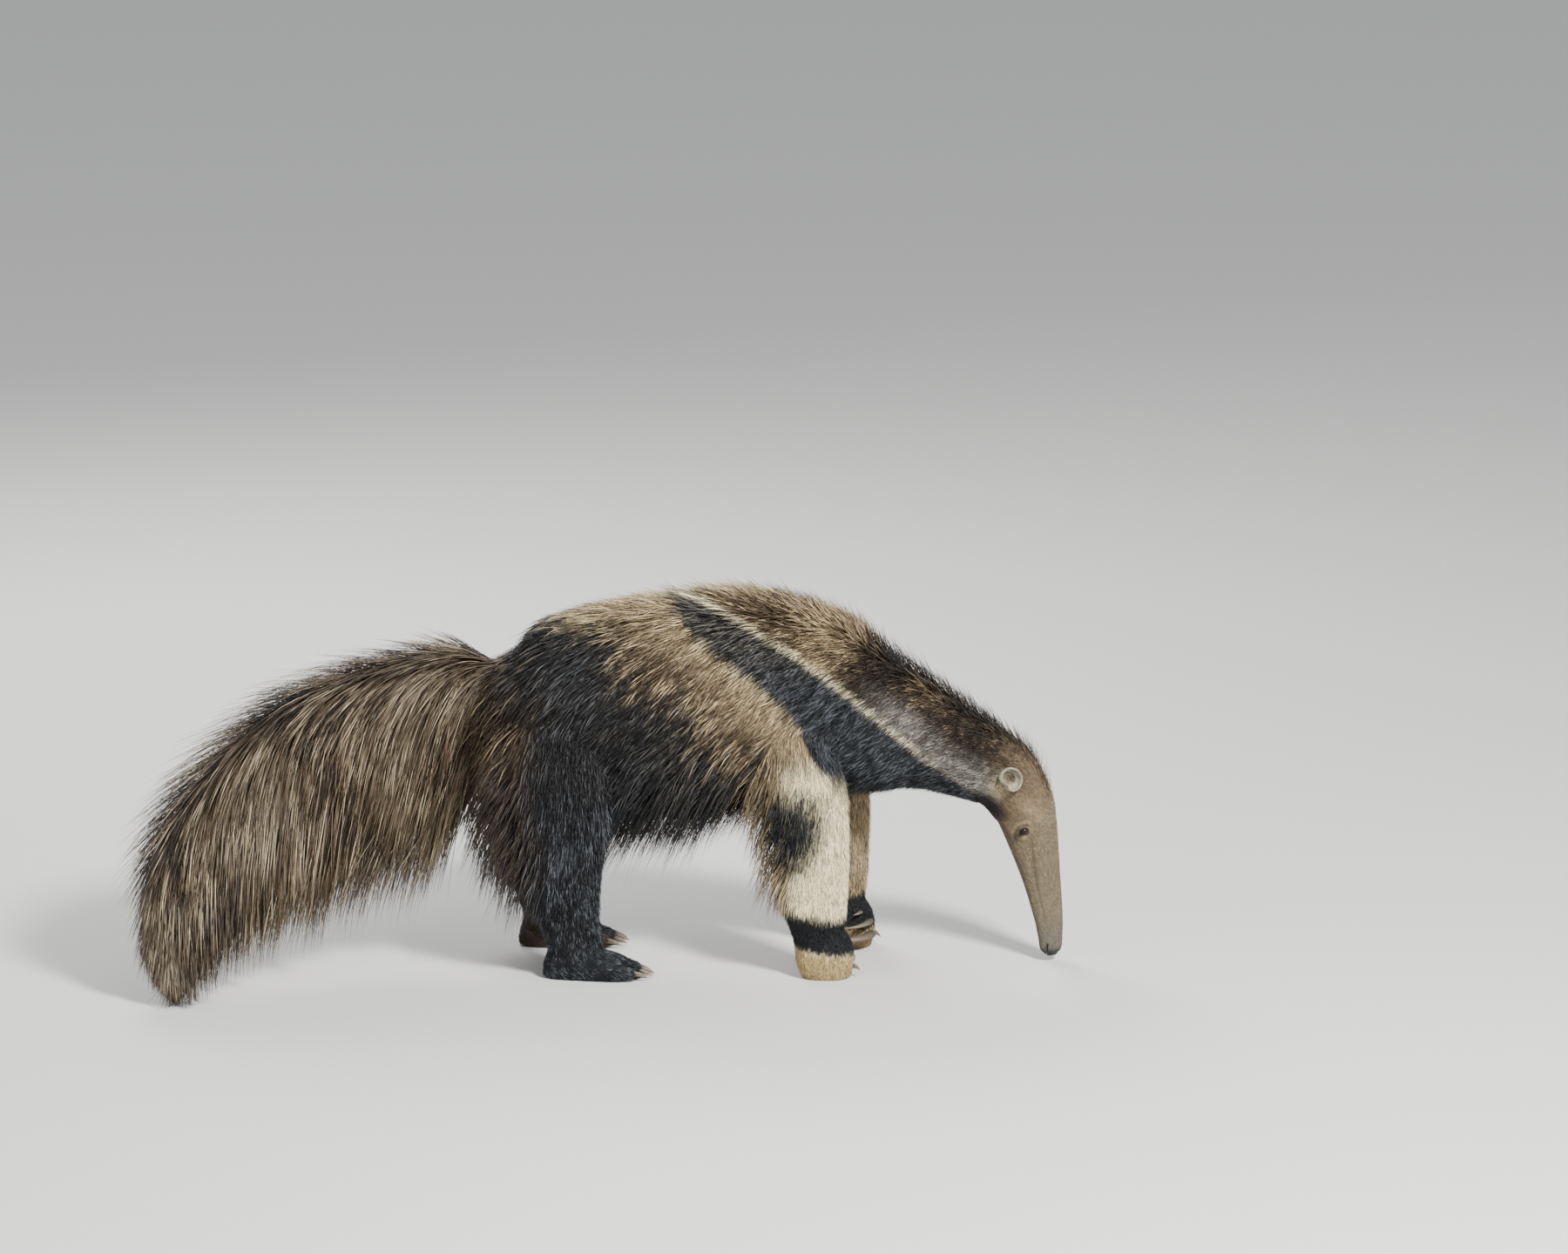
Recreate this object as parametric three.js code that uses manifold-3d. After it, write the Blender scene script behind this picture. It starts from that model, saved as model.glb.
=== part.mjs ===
// Giant anteater, adult, walking with its nose at the ground: a still, life-size model.
// Millimetres, +Z up. The animal faces +X, so its right side lies towards -Y.
// Lofted forms and the locks of the long coat are joined into one solid, which thin cuts then
// part into head, neck, torso, tail and legs. Ears, eyes and claws are pieces of their own.
import * as THREE from "three";
import { mergeVertices } from "three/addons/utils/BufferGeometryUtils.js";
import Module from "manifold-3d";

const wasm = await Module();
wasm.setup();

// Driving sizes
const GAP = 0.3; // between pieces that meet
const FAR = 3000; // longer than the animal, for cutting blocks
const LEFT = new THREE.Vector3(0, 1, 0);
const UP = new THREE.Vector3(0, 0, 1);
const SIDES = { left: 1, right: -1 };

// Sections of the body from rump to lips. at is the middle of a section, tall and wide are its
// half height and half width, and square is 2 for an ellipse and more for a fuller one.
const TRUNK = {
  rumpEnd: { at: [-210, 0, 430], tall: 40, wide: 36, square: 2.1 },
  rump: { at: [-176, 0, 422], tall: 96, wide: 82, square: 2.1 },
  hips: { at: [-100, 0, 414], tall: 150, wide: 120, square: 2.2 },
  loin: { at: [0, 0, 430], tall: 172, wide: 134, square: 2.3 },
  ribs: { at: [125, 0, 444], tall: 175, wide: 140, square: 2.3 },
  chest: { at: [230, 0, 448], tall: 172, wide: 135, square: 2.3 },
  shoulders: { at: [338, 0, 428], tall: 164, wide: 118, square: 2.2 },
  neckBase: { at: [430, 0, 399], tall: 131, wide: 98, square: 2.1 },
  neck: { at: [522, 0, 373], tall: 94, wide: 79, square: 2.1 },
  nape: { at: [606, 0, 336], tall: 71, wide: 64, square: 2.1 },
  ears: { at: [652, 0, 310], tall: 63, wide: 58, square: 2.1 },
  brow: { at: [682, 0, 266], tall: 54, wide: 51, square: 2.1 },
  eyes: { at: [695, 0, 228], tall: 47, wide: 45, square: 2.2 },
  snoutRoot: { at: [714, 0, 145], tall: 33, wide: 31, square: 2.2 },
  snout: { at: [726, 0, 80], tall: 25, wide: 24, square: 2.2 },
  muzzle: { at: [730, 0, 44], tall: 20.5, wide: 20, square: 2.3 },
  lips: { at: [731, 0, 22], tall: 17.5, wide: 18, square: 2.3 },
  noseEnd: { at: [731.5, 0, 13], tall: 10.5, wide: 11.5, square: 2.3 },
};
const TRUNK_MESH = { sides: 24, steps: 2 };

// The tail's flesh and the hair close to it. hair is the length of the locks that hang from it.
const TAIL = {
  root: { at: [-140, 0, 424], tall: 88, wide: 58, hair: 178 },
  base: { at: [-225, -4, 409], tall: 110, wide: 45, hair: 176 },
  upper: { at: [-325, -20, 391], tall: 114, wide: 41, hair: 164 },
  middle: { at: [-420, -52, 367], tall: 111, wide: 39, hair: 162 },
  lower: { at: [-506, -96, 328], tall: 104, wide: 37, hair: 160 },
  end: { at: [-583, -146, 274], tall: 90, wide: 34, hair: 165 },
  bend: { at: [-642, -194, 207], tall: 72, wide: 30, hair: 152 },
  tuft: { at: [-676, -240, 130], tall: 49, wide: 25, hair: 122 },
  tip: { at: [-684, -280, 62], tall: 25, wide: 16, hair: 84 },
};

// Legs of one side, from inside the body down to the ground
const FORELEG = {
  shoulder: { at: [300, 72, 400], tall: 60, wide: 44 },
  upper: { at: [322, 90, 325], tall: 76, wide: 53 },
  elbow: { at: [336, 102, 250], tall: 69, wide: 54 },
  forearm: { at: [342, 106, 175], tall: 62, wide: 49 },
  wristTop: { at: [347, 106, 112], tall: 54, wide: 45 },
  wrist: { at: [352, 105, 74], tall: 45, wide: 40 },
  knuckles: { at: [361, 104, 40], tall: 50, wide: 42 },
  fist: { at: [364, 103, 14], tall: 46, wide: 39 },
  sole: { at: [364, 103, -8], tall: 36, wide: 31 },
};
const HINDLEG = {
  hip: { at: [-70, 66, 420], tall: 86, wide: 54 },
  thigh: { at: [-72, 92, 335], tall: 100, wide: 62 },
  knee: { at: [-64, 104, 250], tall: 90, wide: 59 },
  shin: { at: [-60, 108, 175], tall: 68, wide: 51 },
  hock: { at: [-52, 107, 110], tall: 54, wide: 44 },
  ankle: { at: [-44, 105, 62], tall: 47, wide: 39 },
  instep: { at: [-38, 105, 30], tall: 47, wide: 37 },
};
const HINDFOOT = {
  heelEnd: { at: [-94, 104, 20], tall: 16, wide: 18 },
  heel: { at: [-76, 104, 20], tall: 30, wide: 30 },
  arch: { at: [-30, 106, 20], tall: 36, wide: 37 },
  ball: { at: [18, 108, 14], tall: 29, wide: 42 },
  toes: { at: [42, 108, 8], tall: 20, wide: 38 },
  toeEnd: { at: [54, 108, 6], tall: 9, wide: 28 },
};
const LEG_SIDES = 14;
const FULLNESS = 2.3; // square of the sections that don't name their own
const STEP_AHEAD = { left: 36, right: 0 }; // how far ahead each foreleg stands
const STEP_BEHIND = { left: -46, right: 0 }; // and how far behind each hind leg
const FOREFOOT_TOP = 52;
const HINDFOOT_TOP = 46;

// Locks of the long coat, in rows along a form. from and to are places along it, named by its
// sections, and angle is where round it a row grows: 0 is the side, 90 the top, -90 underneath.
// start and end say how a lock sets off and how it ends: so much along the form, so much down
// and so much out of it. face is where its broad side looks, where that isn't straight out.
const TAIL_ROWS = [
  { angle: 62, from: "base", to: "tuft", count: 7, part: 0.86, wide: 66, start: [0.6, 1, 0.32], end: [0.3, 1, 0] },
  { angle: 10, from: "base", to: "tuft", count: 7, part: 0.96, wide: 66, start: [0.45, 1, 0.24], end: [0.15, 1, 0] },
  { angle: -46, from: "base", to: "tip", count: 11, part: 1, wide: 60, start: [0.35, 1, 0.12], end: [0, 1, 0] },
];
const TAIL_UNDER = {
  angle: -90, face: 0, from: "base", to: "bend", count: 5, part: 1, wide: 54, start: [0.4, 1, 0], end: [0.1, 1, 0],
};
const TAIL_CREST = {
  angle: 90, face: 30, from: "base", to: "tip", count: 10, part: 0.75, wide: 40, start: [1, 0, 0.26], end: [1, 0.45, 0],
};
const TAIL_TIP = {
  angle: 20, face: 90, from: "tuft", to: "tip", count: 2, part: 0.75, wide: 40, start: [1, 0.1, 0.3], end: [1, 0, 0.3],
};
const BACK_CREST = {
  angle: 84, face: 32, from: "loin", to: "nape", count: 10, length: 100, wide: 36, start: [-1, 0, 0.32], end: [-1, 0.26, 0.06],
};
const HAUNCH_ROWS = [
  { angle: 24, from: "rump", to: "loin", count: 4, length: 118, wide: 54, start: [-0.55, 1, 0.3], end: [-0.3, 1, 0.1] },
  { angle: -6, from: "rump", to: "loin", count: 5, length: 112, wide: 52, start: [-0.5, 1, 0.3], end: [-0.3, 1, 0] },
];
const BELLY_ROW = {
  angle: -44, from: "loin", to: "chest", count: 7, length: 92, wide: 44, start: [-0.5, 1, 0.2], end: [-0.3, 1, 0],
};
const THIGH_ROW = {
  angle: -58, face: -20, from: "thigh", to: "shin", count: 3, length: 120, wide: 50, start: [1, 0, 0.5], end: [1, 0.2, 0.2],
};
const ELBOW_ROW = {
  angle: -58, face: -20, from: "upper", to: "elbow", count: 2, length: 112, wide: 48, start: [1, 0, 0.5], end: [1, 0.2, 0.2],
};
const LOCK = { thick: 8, sunk: 7, rooted: 16, uneven: 0.09, stray: 0.1 };
const LOCK_RINGS = [
  { at: 0, wide: 0.75, thick: 1 },
  { at: 0.35, wide: 1, thick: 1 },
  { at: 0.78, wide: 0.62, thick: 0.75 },
];

// Where the thin cuts part the body. A leg's cut rises outwards from the groin, and reaches
// further back beside the tail. foot is how much further ahead the foot reaches.
const HEAD_CUT = { at: [634, 0, 322], slope: -47 };
const NECK_CUT = { at: [404, 0, 412], slope: -17 };
const TAIL_ROOT = { back: -184, side: 64, past: -262 };
const TAIL_CUTS = [
  { at: [-372, 0, 300], lean: 14 },
  { at: [-560, 0, 200], lean: 8 },
];
const FORELEG_CUT = { back: 236, front: 424, inner: 30, groin: [60, 262], rise: 42, foot: 0 };
const HINDLEG_CUT = { back: -183, front: 34, inner: 22, groin: [52, 262], rise: 42, foot: 60 };
const HAUNCH_REACH = 70; // how far a hind leg may stand out behind its cut, beside the tail
const FOOT_LEVEL = 150; // feet stand out ahead of the legs' cuts only below this

// Ears, eyes, mouth and claws
const EAR = { level: "ears", angle: 6, sink: 7, radius: 20.5, depth: 17, wall: 2.5, open: [0.42, 1, 0.16] };
const EYE = { level: "eyes", angle: -12, sink: 5, radius: 7.2 };
const LID = { long: 9.6, tall: 6.4, thick: 2.3, tilt: -18, turn: -8 };
const MOUTH = { at: [724, 0, 8], lean: 4, high: 34, slit: 1.4, tongue: 12.5, drop: 10, start: 8, across: 60 };
const NOSTRIL = { apart: 6.2, below: 1, sink: 2, size: [5, 2, 2.6] };

// Each claw starts inside its toe, sets off along aim and bends by so many degrees towards hook
const FORE_CLAWS = [
  { name: "first", at: [384, 74, 62], aim: [0.1, -1, 0.1], hook: [-1, 0, -0.2], length: 24, bend: 70, thick: 5 },
  { name: "second", at: [398, 80, 46], aim: [0.1, -1, 0], hook: [-1, 0.1, -0.1], length: 64, bend: 115, thick: 7.5 },
  { name: "third", at: [400, 84, 24], aim: [0.1, -1, 0], hook: [-1, 0.1, 0], length: 92, bend: 125, thick: 10 },
  { name: "fourth", at: [403, 112, 20], aim: [1, -0.2, 0], hook: [0, 0, -1], length: 20, bend: 60, thick: 4.5 },
];
const CLAW = { sides: 6, steps: 4, flat: 0.6, tip: 0.06 };
const HIND_TOES = { count: 5, middle: [50, 108, 12], fan: 31, back: 12, round: [19, 9.5, 14] };
const HIND_CLAW = { ahead: 12, length: 27, bend: 38, thick: 5, splay: 0.2 };

const COLOURS = {
  body: 0x4a4038,
  head: 0x6b5f52,
  tail: 0x4d443c,
  foreleg: 0xb9b09c,
  hindleg: 0x2b2a2c,
  paw: 0x9c8768,
  foot: 0x2f2c2b,
  ear: 0xa8a79a,
  eye: 0x150f0c,
  claw: 0x6f675a,
};
const ROUGHNESS = { eye: 0.15, claw: 0.5, coat: 0.9 };

const radians = (degrees) => (degrees * Math.PI) / 180;
const vector = ([x, y, z]) => new THREE.Vector3(x, y, z);

// A seeded draw between -1 and 1, so that the coat comes out the same each time
let seed = 7;
function draw() {
  seed = (seed * 1664525 + 1013904223) % 4294967296;
  return seed / 2147483648 - 1;
}

// Solids from three.js geometry and back
function solid(geometry) {
  const bare = new THREE.BufferGeometry();
  bare.setAttribute("position", geometry.getAttribute("position"));
  if (geometry.index) bare.setIndex(geometry.index);
  const merged = mergeVertices(bare, 1e-4);
  const mesh = new wasm.Mesh({
    numProp: 3,
    vertProperties: new Float32Array(merged.getAttribute("position").array),
    triVerts: new Uint32Array(merged.index.array),
  });
  return new wasm.Manifold(mesh);
}

function geometryOf(body) {
  const mesh = body.getMesh();
  const geometry = new THREE.BufferGeometry();
  geometry.setAttribute("position", new THREE.BufferAttribute(mesh.vertProperties, 3));
  geometry.setIndex(new THREE.BufferAttribute(mesh.triVerts, 1));
  geometry.computeVertexNormals();
  return geometry;
}

// The largest closed surface of a body, so that scraps that a cut leaves loose are dropped
function largest(body) {
  return body.decompose().reduce((a, b) => (b.volume() > a.volume() ? b : a));
}

// A closed mesh from rings of as many points each, with a point at either end
function closedRings(rings, first, last) {
  const sides = rings[0].length;
  const points = [first, ...rings.flat(), last];
  const corner = (ring, side) => 1 + ring * sides + (side % sides);
  const index = [];
  for (let side = 0; side < sides; side++) {
    index.push(0, corner(0, side + 1), corner(0, side));
    for (let ring = 0; ring < rings.length - 1; ring++) {
      const [a, b] = [corner(ring, side), corner(ring, side + 1)];
      const [c, d] = [corner(ring + 1, side + 1), corner(ring + 1, side)];
      index.push(a, b, c, a, c, d);
    }
    index.push(corner(rings.length - 1, side), corner(rings.length - 1, side + 1), points.length - 1);
  }
  const geometry = new THREE.BufferGeometry();
  geometry.setAttribute("position", new THREE.Float32BufferAttribute(points.flatMap((p) => p.toArray()), 3));
  geometry.setIndex(index);
  return solid(geometry);
}

// A loft through named sections, square to the line through their middles. across is the
// direction that a section's width runs along, as near as its own plane allows.
class Loft {
  constructor(sections, across = LEFT, { side = 1, shift = 0 } = {}) {
    this.sections = sections;
    this.across = across;
    this.side = side;
    this.list = Object.values(sections);
    const middles = this.list.map((s) => new THREE.Vector3(s.at[0] + shift, s.at[1] * side, s.at[2]));
    const sizes = this.list.map((s) => new THREE.Vector3(s.tall, s.wide, s.square ?? FULLNESS));
    this.line = new THREE.CatmullRomCurve3(middles, false, "catmullrom", 0.5);
    this.size = new THREE.CatmullRomCurve3(sizes, false, "catmullrom", 0.5);
  }

  // Where along the loft a named section is, from 0 to 1
  level(name) {
    return Object.keys(this.sections).indexOf(name) / (this.list.length - 1);
  }

  // A size that the sections carry, between the two sections nearest to t
  between(key, t) {
    const place = Math.min(t, 0.9999) * (this.list.length - 1);
    const low = Math.floor(place);
    return THREE.MathUtils.lerp(this.list[low][key], this.list[low + 1][key], place - low);
  }

  frame(t) {
    const along = this.line.getTangent(t);
    const wide = this.across.clone().addScaledVector(along, -this.across.dot(along)).normalize();
    return { along, wide, tall: along.clone().cross(wide) };
  }

  point(t, angle, grow = 0) {
    const { wide, tall } = this.frame(t);
    const size = this.size.getPoint(t);
    const reach = (value, half) => Math.sign(value) * Math.abs(value) ** (2 / size.z) * (half + grow);
    return this.line
      .getPoint(t)
      .addScaledVector(wide, reach(Math.cos(angle), size.y))
      .addScaledVector(tall, reach(Math.sin(angle), size.x));
  }

  normal(t, angle) {
    const round = this.point(t, angle + 0.06).sub(this.point(t, angle - 0.06));
    const out = round.cross(this.frame(t).along).normalize();
    return out.dot(this.point(t, angle).sub(this.line.getPoint(t))) < 0 ? out.negate() : out;
  }

  solid({ sides = LEG_SIDES, steps = 1, grow = 0 } = {}) {
    const count = (this.list.length - 1) * steps;
    const rings = [];
    for (let r = 0; r <= count; r++) {
      const angles = Array.from({ length: sides }, (_, s) => ((s + 0.5) / sides) * 2 * Math.PI);
      rings.push(angles.map((angle) => this.point(r / count, angle, grow)));
    }
    return closedRings(rings, this.line.getPoint(0), this.line.getPoint(1));
  }
}

// One lock: a flat, tapered strand of four-sided section. Its root is sunk in the form that it
// grows from, and it turns from the direction start to the direction end.
function lock({ root, start, end, facing, length, wide, thick }) {
  const place = root.clone();
  const heading = (u) => start.clone().lerp(end, u).normalize();
  let done = 0;
  const goTo = (u) => {
    place.addScaledVector(heading((done + u) / 2), (u - done) * length);
    done = u;
  };
  const rings = LOCK_RINGS.map((ring) => {
    goTo(ring.at);
    const along = heading(ring.at);
    const across = facing.clone().cross(along).normalize();
    const out = along.clone().cross(across);
    return [
      [across, wide * ring.wide],
      [out, thick * ring.thick],
      [across, -wide * ring.wide],
      [out, -thick * ring.thick],
    ].map(([way, size]) => place.clone().addScaledVector(way, size / 2));
  });
  goTo(1);
  return closedRings(rings, root, place);
}

// A row of locks on a form. mirrored puts it on the form's other side, half a step along.
function lockRow(form, row, mirrored = false) {
  const turned = (degrees) => radians(mirrored ? 180 - degrees : degrees);
  const locks = [];
  for (let i = 0; i < row.count; i++) {
    const step = (i + (mirrored ? 0.5 : 0) + 0.18 * draw()) / (row.count - 0.5);
    const t = THREE.MathUtils.lerp(form.level(row.from), form.level(row.to), THREE.MathUtils.clamp(step, 0, 1));
    const angle = turned(row.angle + 4 * draw());
    const { along, wide, tall } = form.frame(t);
    const out = form.normal(t, angle);
    const face = turned(row.face ?? 0);
    const facing =
      row.face === undefined
        ? out
        : wide.multiplyScalar(Math.cos(face)).addScaledVector(tall, Math.sin(face));
    const lie = ([ahead, down]) =>
      new THREE.Vector3().addScaledVector(along, ahead + LOCK.stray * draw()).addScaledVector(UP, -down);
    const start = lie(row.start);
    start.addScaledVector(out, row.start[2] - start.dot(out)).normalize();
    const length = row.part ? form.between("hair", t) * row.part : row.length;
    locks.push(
      lock({
        root: form.point(t, angle, -LOCK.sunk).addScaledVector(start, -LOCK.rooted),
        start,
        end: lie(row.end).addScaledVector(out, row.end[2]).normalize(),
        facing,
        length: length * (1 + LOCK.uneven * draw()) + LOCK.rooted,
        wide: row.wide * (1 + LOCK.uneven * draw()),
        thick: LOCK.thick,
      }),
    );
  }
  return locks;
}

const bothSides = (form, row) => [...lockRow(form, row), ...lockRow(form, row, true)];

// A block that fills one side of a plane, its face grow past the plane
function beyond(at, normal, grow = 0) {
  const block = new THREE.BoxGeometry(FAR, FAR, FAR);
  const out = vector(normal).normalize();
  block.applyQuaternion(new THREE.Quaternion().setFromUnitVectors(UP, out));
  const middle = vector(at).addScaledVector(out, FAR / 2 - grow);
  block.translate(middle.x, middle.y, middle.z);
  return solid(block);
}

function box([x0, x1], [y0, y1], [z0, z1]) {
  const block = new THREE.BoxGeometry(x1 - x0, Math.abs(y1 - y0), z1 - z0);
  block.translate((x0 + x1) / 2, (y0 + y1) / 2, (z0 + z1) / 2);
  return solid(block);
}

const below = (height, grow = 0) => beyond([0, 0, height], [0, 0, -1], grow);

// The space that a leg takes, its faces grow past their places
function legRegion(cut, side, shift, grow) {
  const [back, front] = [cut.back + shift - grow, cut.front + shift + grow];
  const inner = side * (cut.inner - grow);
  const rise = radians(cut.rise);
  const [out, height] = cut.groin;
  return box([back, front], [inner, side * FAR], [-FAR, FAR])
    .add(box([back, front + cut.foot], [inner, side * FAR], [-FAR, FOOT_LEVEL]))
    .intersect(beyond([0, side * out, height], [0, side * Math.sin(rise), -Math.cos(rise)], grow));
}

// A hind leg also takes what stands out behind, beside the tail
function hindlegRegion(side, shift, grow) {
  const leg = legRegion(HINDLEG_CUT, side, shift, grow);
  const beside = { ...HINDLEG_CUT, back: HINDLEG_CUT.back - HAUNCH_REACH, inner: TAIL_ROOT.side + 1 };
  return leg
    .intersect(beyond([TAIL_ROOT.back + 1, 0, 0], [1, 0, 0], grow))
    .add(legRegion(beside, side, shift, grow));
}

function tailRegion(grow) {
  const { back, side, past } = TAIL_ROOT;
  return beyond([past, 0, 0], [-1, 0, 0], grow).add(
    box([past - 1, back + grow], [-side - grow, side + grow], [-FAR, FAR]),
  );
}

function tailLength({ at, lean }, grow) {
  return beyond(at, [-Math.cos(radians(lean)), 0, Math.sin(radians(lean))], grow);
}

function sloped({ at, slope }, grow) {
  return beyond(at, [Math.cos(radians(slope)), 0, Math.sin(radians(slope))], grow);
}

// A claw: a horn that tapers along an arc
function claw({ at, aim, hook, length, bend, thick }, side, shift) {
  const start = new THREE.Vector3(at[0] + shift, at[1] * side, at[2]);
  const ahead = new THREE.Vector3(aim[0], aim[1] * side, aim[2]).normalize();
  const turn = new THREE.Vector3(hook[0], hook[1] * side, hook[2]);
  turn.addScaledVector(ahead, -turn.dot(ahead)).normalize();
  const radius = length / radians(bend);
  const sections = {};
  for (let i = 0; i <= CLAW.steps; i++) {
    const u = i / CLAW.steps;
    const middle = start
      .clone()
      .addScaledVector(ahead, radius * Math.sin(radians(bend) * u))
      .addScaledVector(turn, radius * (1 - Math.cos(radians(bend) * u)));
    const girth = thick * (1 - (1 - CLAW.tip) * u ** 1.6);
    sections[i] = { at: middle.toArray(), tall: girth, wide: girth * CLAW.flat, square: 2 };
  }
  return new Loft(sections, turn.clone().cross(ahead)).solid({ sides: CLAW.sides });
}

// The hind toes fan out across the front of the foot
function hindToe(i, side, shift) {
  const spread = (2 * i) / (HIND_TOES.count - 1) - 1;
  const [x, y, z] = HIND_TOES.middle;
  const at = new THREE.Vector3(x + shift - HIND_TOES.back * spread ** 2, side * (y + HIND_TOES.fan * spread), z);
  return { at, spread };
}

function hindToeSolid({ at }, grow = 0) {
  const toe = new THREE.SphereGeometry(1, 6, 4);
  toe.scale(...HIND_TOES.round.map((half) => half + grow));
  toe.translate(at.x, at.y, at.z);
  return solid(toe);
}

// The forms that make up the animal
const trunk = new Loft(TRUNK);
const tail = new Loft(TAIL, LEFT.clone().negate());
const legs = Object.entries(SIDES).map(([name, side]) => {
  const ahead = STEP_AHEAD[name];
  const behind = STEP_BEHIND[name];
  return {
    name,
    side,
    ahead,
    behind,
    fore: new Loft(FORELEG, LEFT, { side, shift: ahead }),
    hind: new Loft(HINDLEG, LEFT, { side, shift: behind }),
    foot: new Loft(HINDFOOT, LEFT, { side, shift: behind }),
    toes: Array.from({ length: HIND_TOES.count }, (_, i) => hindToe(i, side, behind)),
  };
});

const coat = [
  ...TAIL_ROWS.flatMap((row) => bothSides(tail, row)),
  ...lockRow(tail, TAIL_UNDER),
  ...lockRow(tail, TAIL_CREST),
  ...bothSides(tail, TAIL_TIP),
  ...bothSides(trunk, BACK_CREST),
  ...HAUNCH_ROWS.flatMap((row) => bothSides(trunk, row)),
  ...bothSides(trunk, BELLY_ROW),
  ...legs.flatMap((leg) => [...bothSides(leg.hind, THIGH_ROW), ...bothSides(leg.fore, ELBOW_ROW)]),
];

const ground = below(0);
const whole = wasm.Manifold.union([
  trunk.solid(TRUNK_MESH),
  tail.solid(),
  ...legs.flatMap((leg) => [leg.fore.solid(), leg.hind.solid(), leg.foot.solid()]),
  ...legs.flatMap((leg) => leg.toes.map((toe) => hindToeSolid(toe))),
  ...coat,
]).subtract(ground);

// Parting the body
const model = new THREE.Group();

function add(name, body, color, roughness = ROUGHNESS.coat) {
  const material = new THREE.MeshStandardMaterial({ color, roughness, metalness: 0 });
  const mesh = new THREE.Mesh(geometryOf(largest(body)), material);
  mesh.name = name;
  model.add(mesh);
}

let rest = whole;
function take(region) {
  const piece = rest.intersect(region(0));
  rest = rest.subtract(region(GAP));
  return piece;
}

for (const { name, side, ahead, behind } of legs) {
  const fore = take((grow) => legRegion(FORELEG_CUT, side, ahead, grow));
  add(`foreleg_${name}`, fore.subtract(below(FOREFOOT_TOP, GAP)), COLOURS.foreleg);
  add(`forefoot_${name}`, fore.intersect(below(FOREFOOT_TOP)), COLOURS.paw);
  const hind = take((grow) => hindlegRegion(side, behind, grow));
  add(`hindleg_${name}`, hind.subtract(below(HINDFOOT_TOP, GAP)), COLOURS.hindleg);
  add(`hindfoot_${name}`, hind.intersect(below(HINDFOOT_TOP)), COLOURS.foot);
}

const wholeTail = take(tailRegion);
const [upperCut, lowerCut] = TAIL_CUTS;
add("tail_base", wholeTail.subtract(tailLength(upperCut, GAP)), COLOURS.tail);
const tailMiddle = wholeTail.intersect(tailLength(upperCut, 0)).subtract(tailLength(lowerCut, GAP));
add("tail_middle", tailMiddle, COLOURS.tail);
add("tail_end", wholeTail.intersect(tailLength(lowerCut, 0)), COLOURS.tail);

// Eyes and ears are placed on the head by the section that they belong to
function onHead({ level, angle, sink }, side) {
  const place = trunk.point(trunk.level(level), radians(angle), -sink);
  return new THREE.Vector3(place.x, place.y * side, place.z);
}

function eyeball(side, grow = 0) {
  const ball = new THREE.SphereGeometry(EYE.radius + grow, 10, 7);
  ball.rotateX(Math.PI / 2);
  const at = onHead(EYE, side);
  ball.translate(at.x, at.y, at.z);
  return solid(ball);
}

// The rim of both lids, an almond ring that lies along the head
function lids(side) {
  const ring = new THREE.TorusGeometry(1, LID.thick / LID.long, 5, 10);
  ring.scale(LID.tall, LID.long, LID.long);
  ring.rotateX(Math.PI / 2);
  ring.rotateY(radians(LID.tilt));
  ring.rotateZ(side * radians(LID.turn));
  const at = onHead({ ...EYE, sink: 1 }, side);
  ring.translate(at.x, at.y, at.z);
  return solid(ring);
}

// The mouth is a short slit at the snout's tip, round a tongue's width of solid snout
function mouth() {
  const slit = new THREE.BoxGeometry(MOUTH.slit, MOUTH.across, MOUTH.high);
  slit.translate(0, 0, MOUTH.high / 2 - MOUTH.drop);
  const middle = new THREE.BoxGeometry(MOUTH.slit * 3, 2 * MOUTH.tongue, MOUTH.high);
  middle.translate(0, 0, MOUTH.high / 2 + MOUTH.start);
  for (const shape of [slit, middle]) {
    shape.rotateY(radians(MOUTH.lean));
    shape.translate(...MOUTH.at);
  }
  return solid(slit).subtract(solid(middle));
}

function nostril(side) {
  const pit = new THREE.SphereGeometry(1, 7, 5);
  pit.scale(...NOSTRIL.size);
  const { at, tall } = TRUNK.lips;
  pit.translate(at[0] + tall - NOSTRIL.sink, side * NOSTRIL.apart, at[2] - NOSTRIL.below);
  return solid(pit);
}

let head = take((grow) => sloped(HEAD_CUT, grow)).subtract(mouth());
for (const { name, side } of legs) {
  head = head.add(lids(side)).subtract(eyeball(side, GAP)).subtract(nostril(side));
  add(`eye_${name}`, eyeball(side), COLOURS.eye, ROUGHNESS.eye);
}
add("head", head, COLOURS.head);
add("neck", take((grow) => sloped(NECK_CUT, grow)), COLOURS.body);
add("torso", rest, COLOURS.body);

// Ears: a cup each, open outwards and a little forwards, its foot cut clear of the head
const grownTrunk = trunk.solid({ ...TRUNK_MESH, grow: GAP });
function ear(side) {
  const { radius, depth, wall, open } = EAR;
  const steps = 4;
  const outer = [];
  const inner = [];
  for (let i = 0; i <= steps; i++) {
    const u = i / steps;
    const across = radius * Math.sin((u * Math.PI) / 2) ** 0.8;
    outer.push(new THREE.Vector2(across, depth * u ** 2));
    inner.push(new THREE.Vector2(Math.max(across - wall, 0), wall + (depth - wall / 2) * u ** 2));
  }
  inner[0].x = 0;
  const cup = new THREE.LatheGeometry([...outer, ...inner.reverse()], 12);
  const out = new THREE.Vector3(open[0], open[1] * side, open[2]).normalize();
  cup.applyQuaternion(new THREE.Quaternion().setFromUnitVectors(LEFT, out));
  const at = onHead(EAR, side);
  cup.translate(at.x, at.y, at.z);
  return solid(cup).subtract(grownTrunk);
}
for (const { name, side } of legs) add(`ear_${name}`, ear(side), COLOURS.ear);

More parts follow.
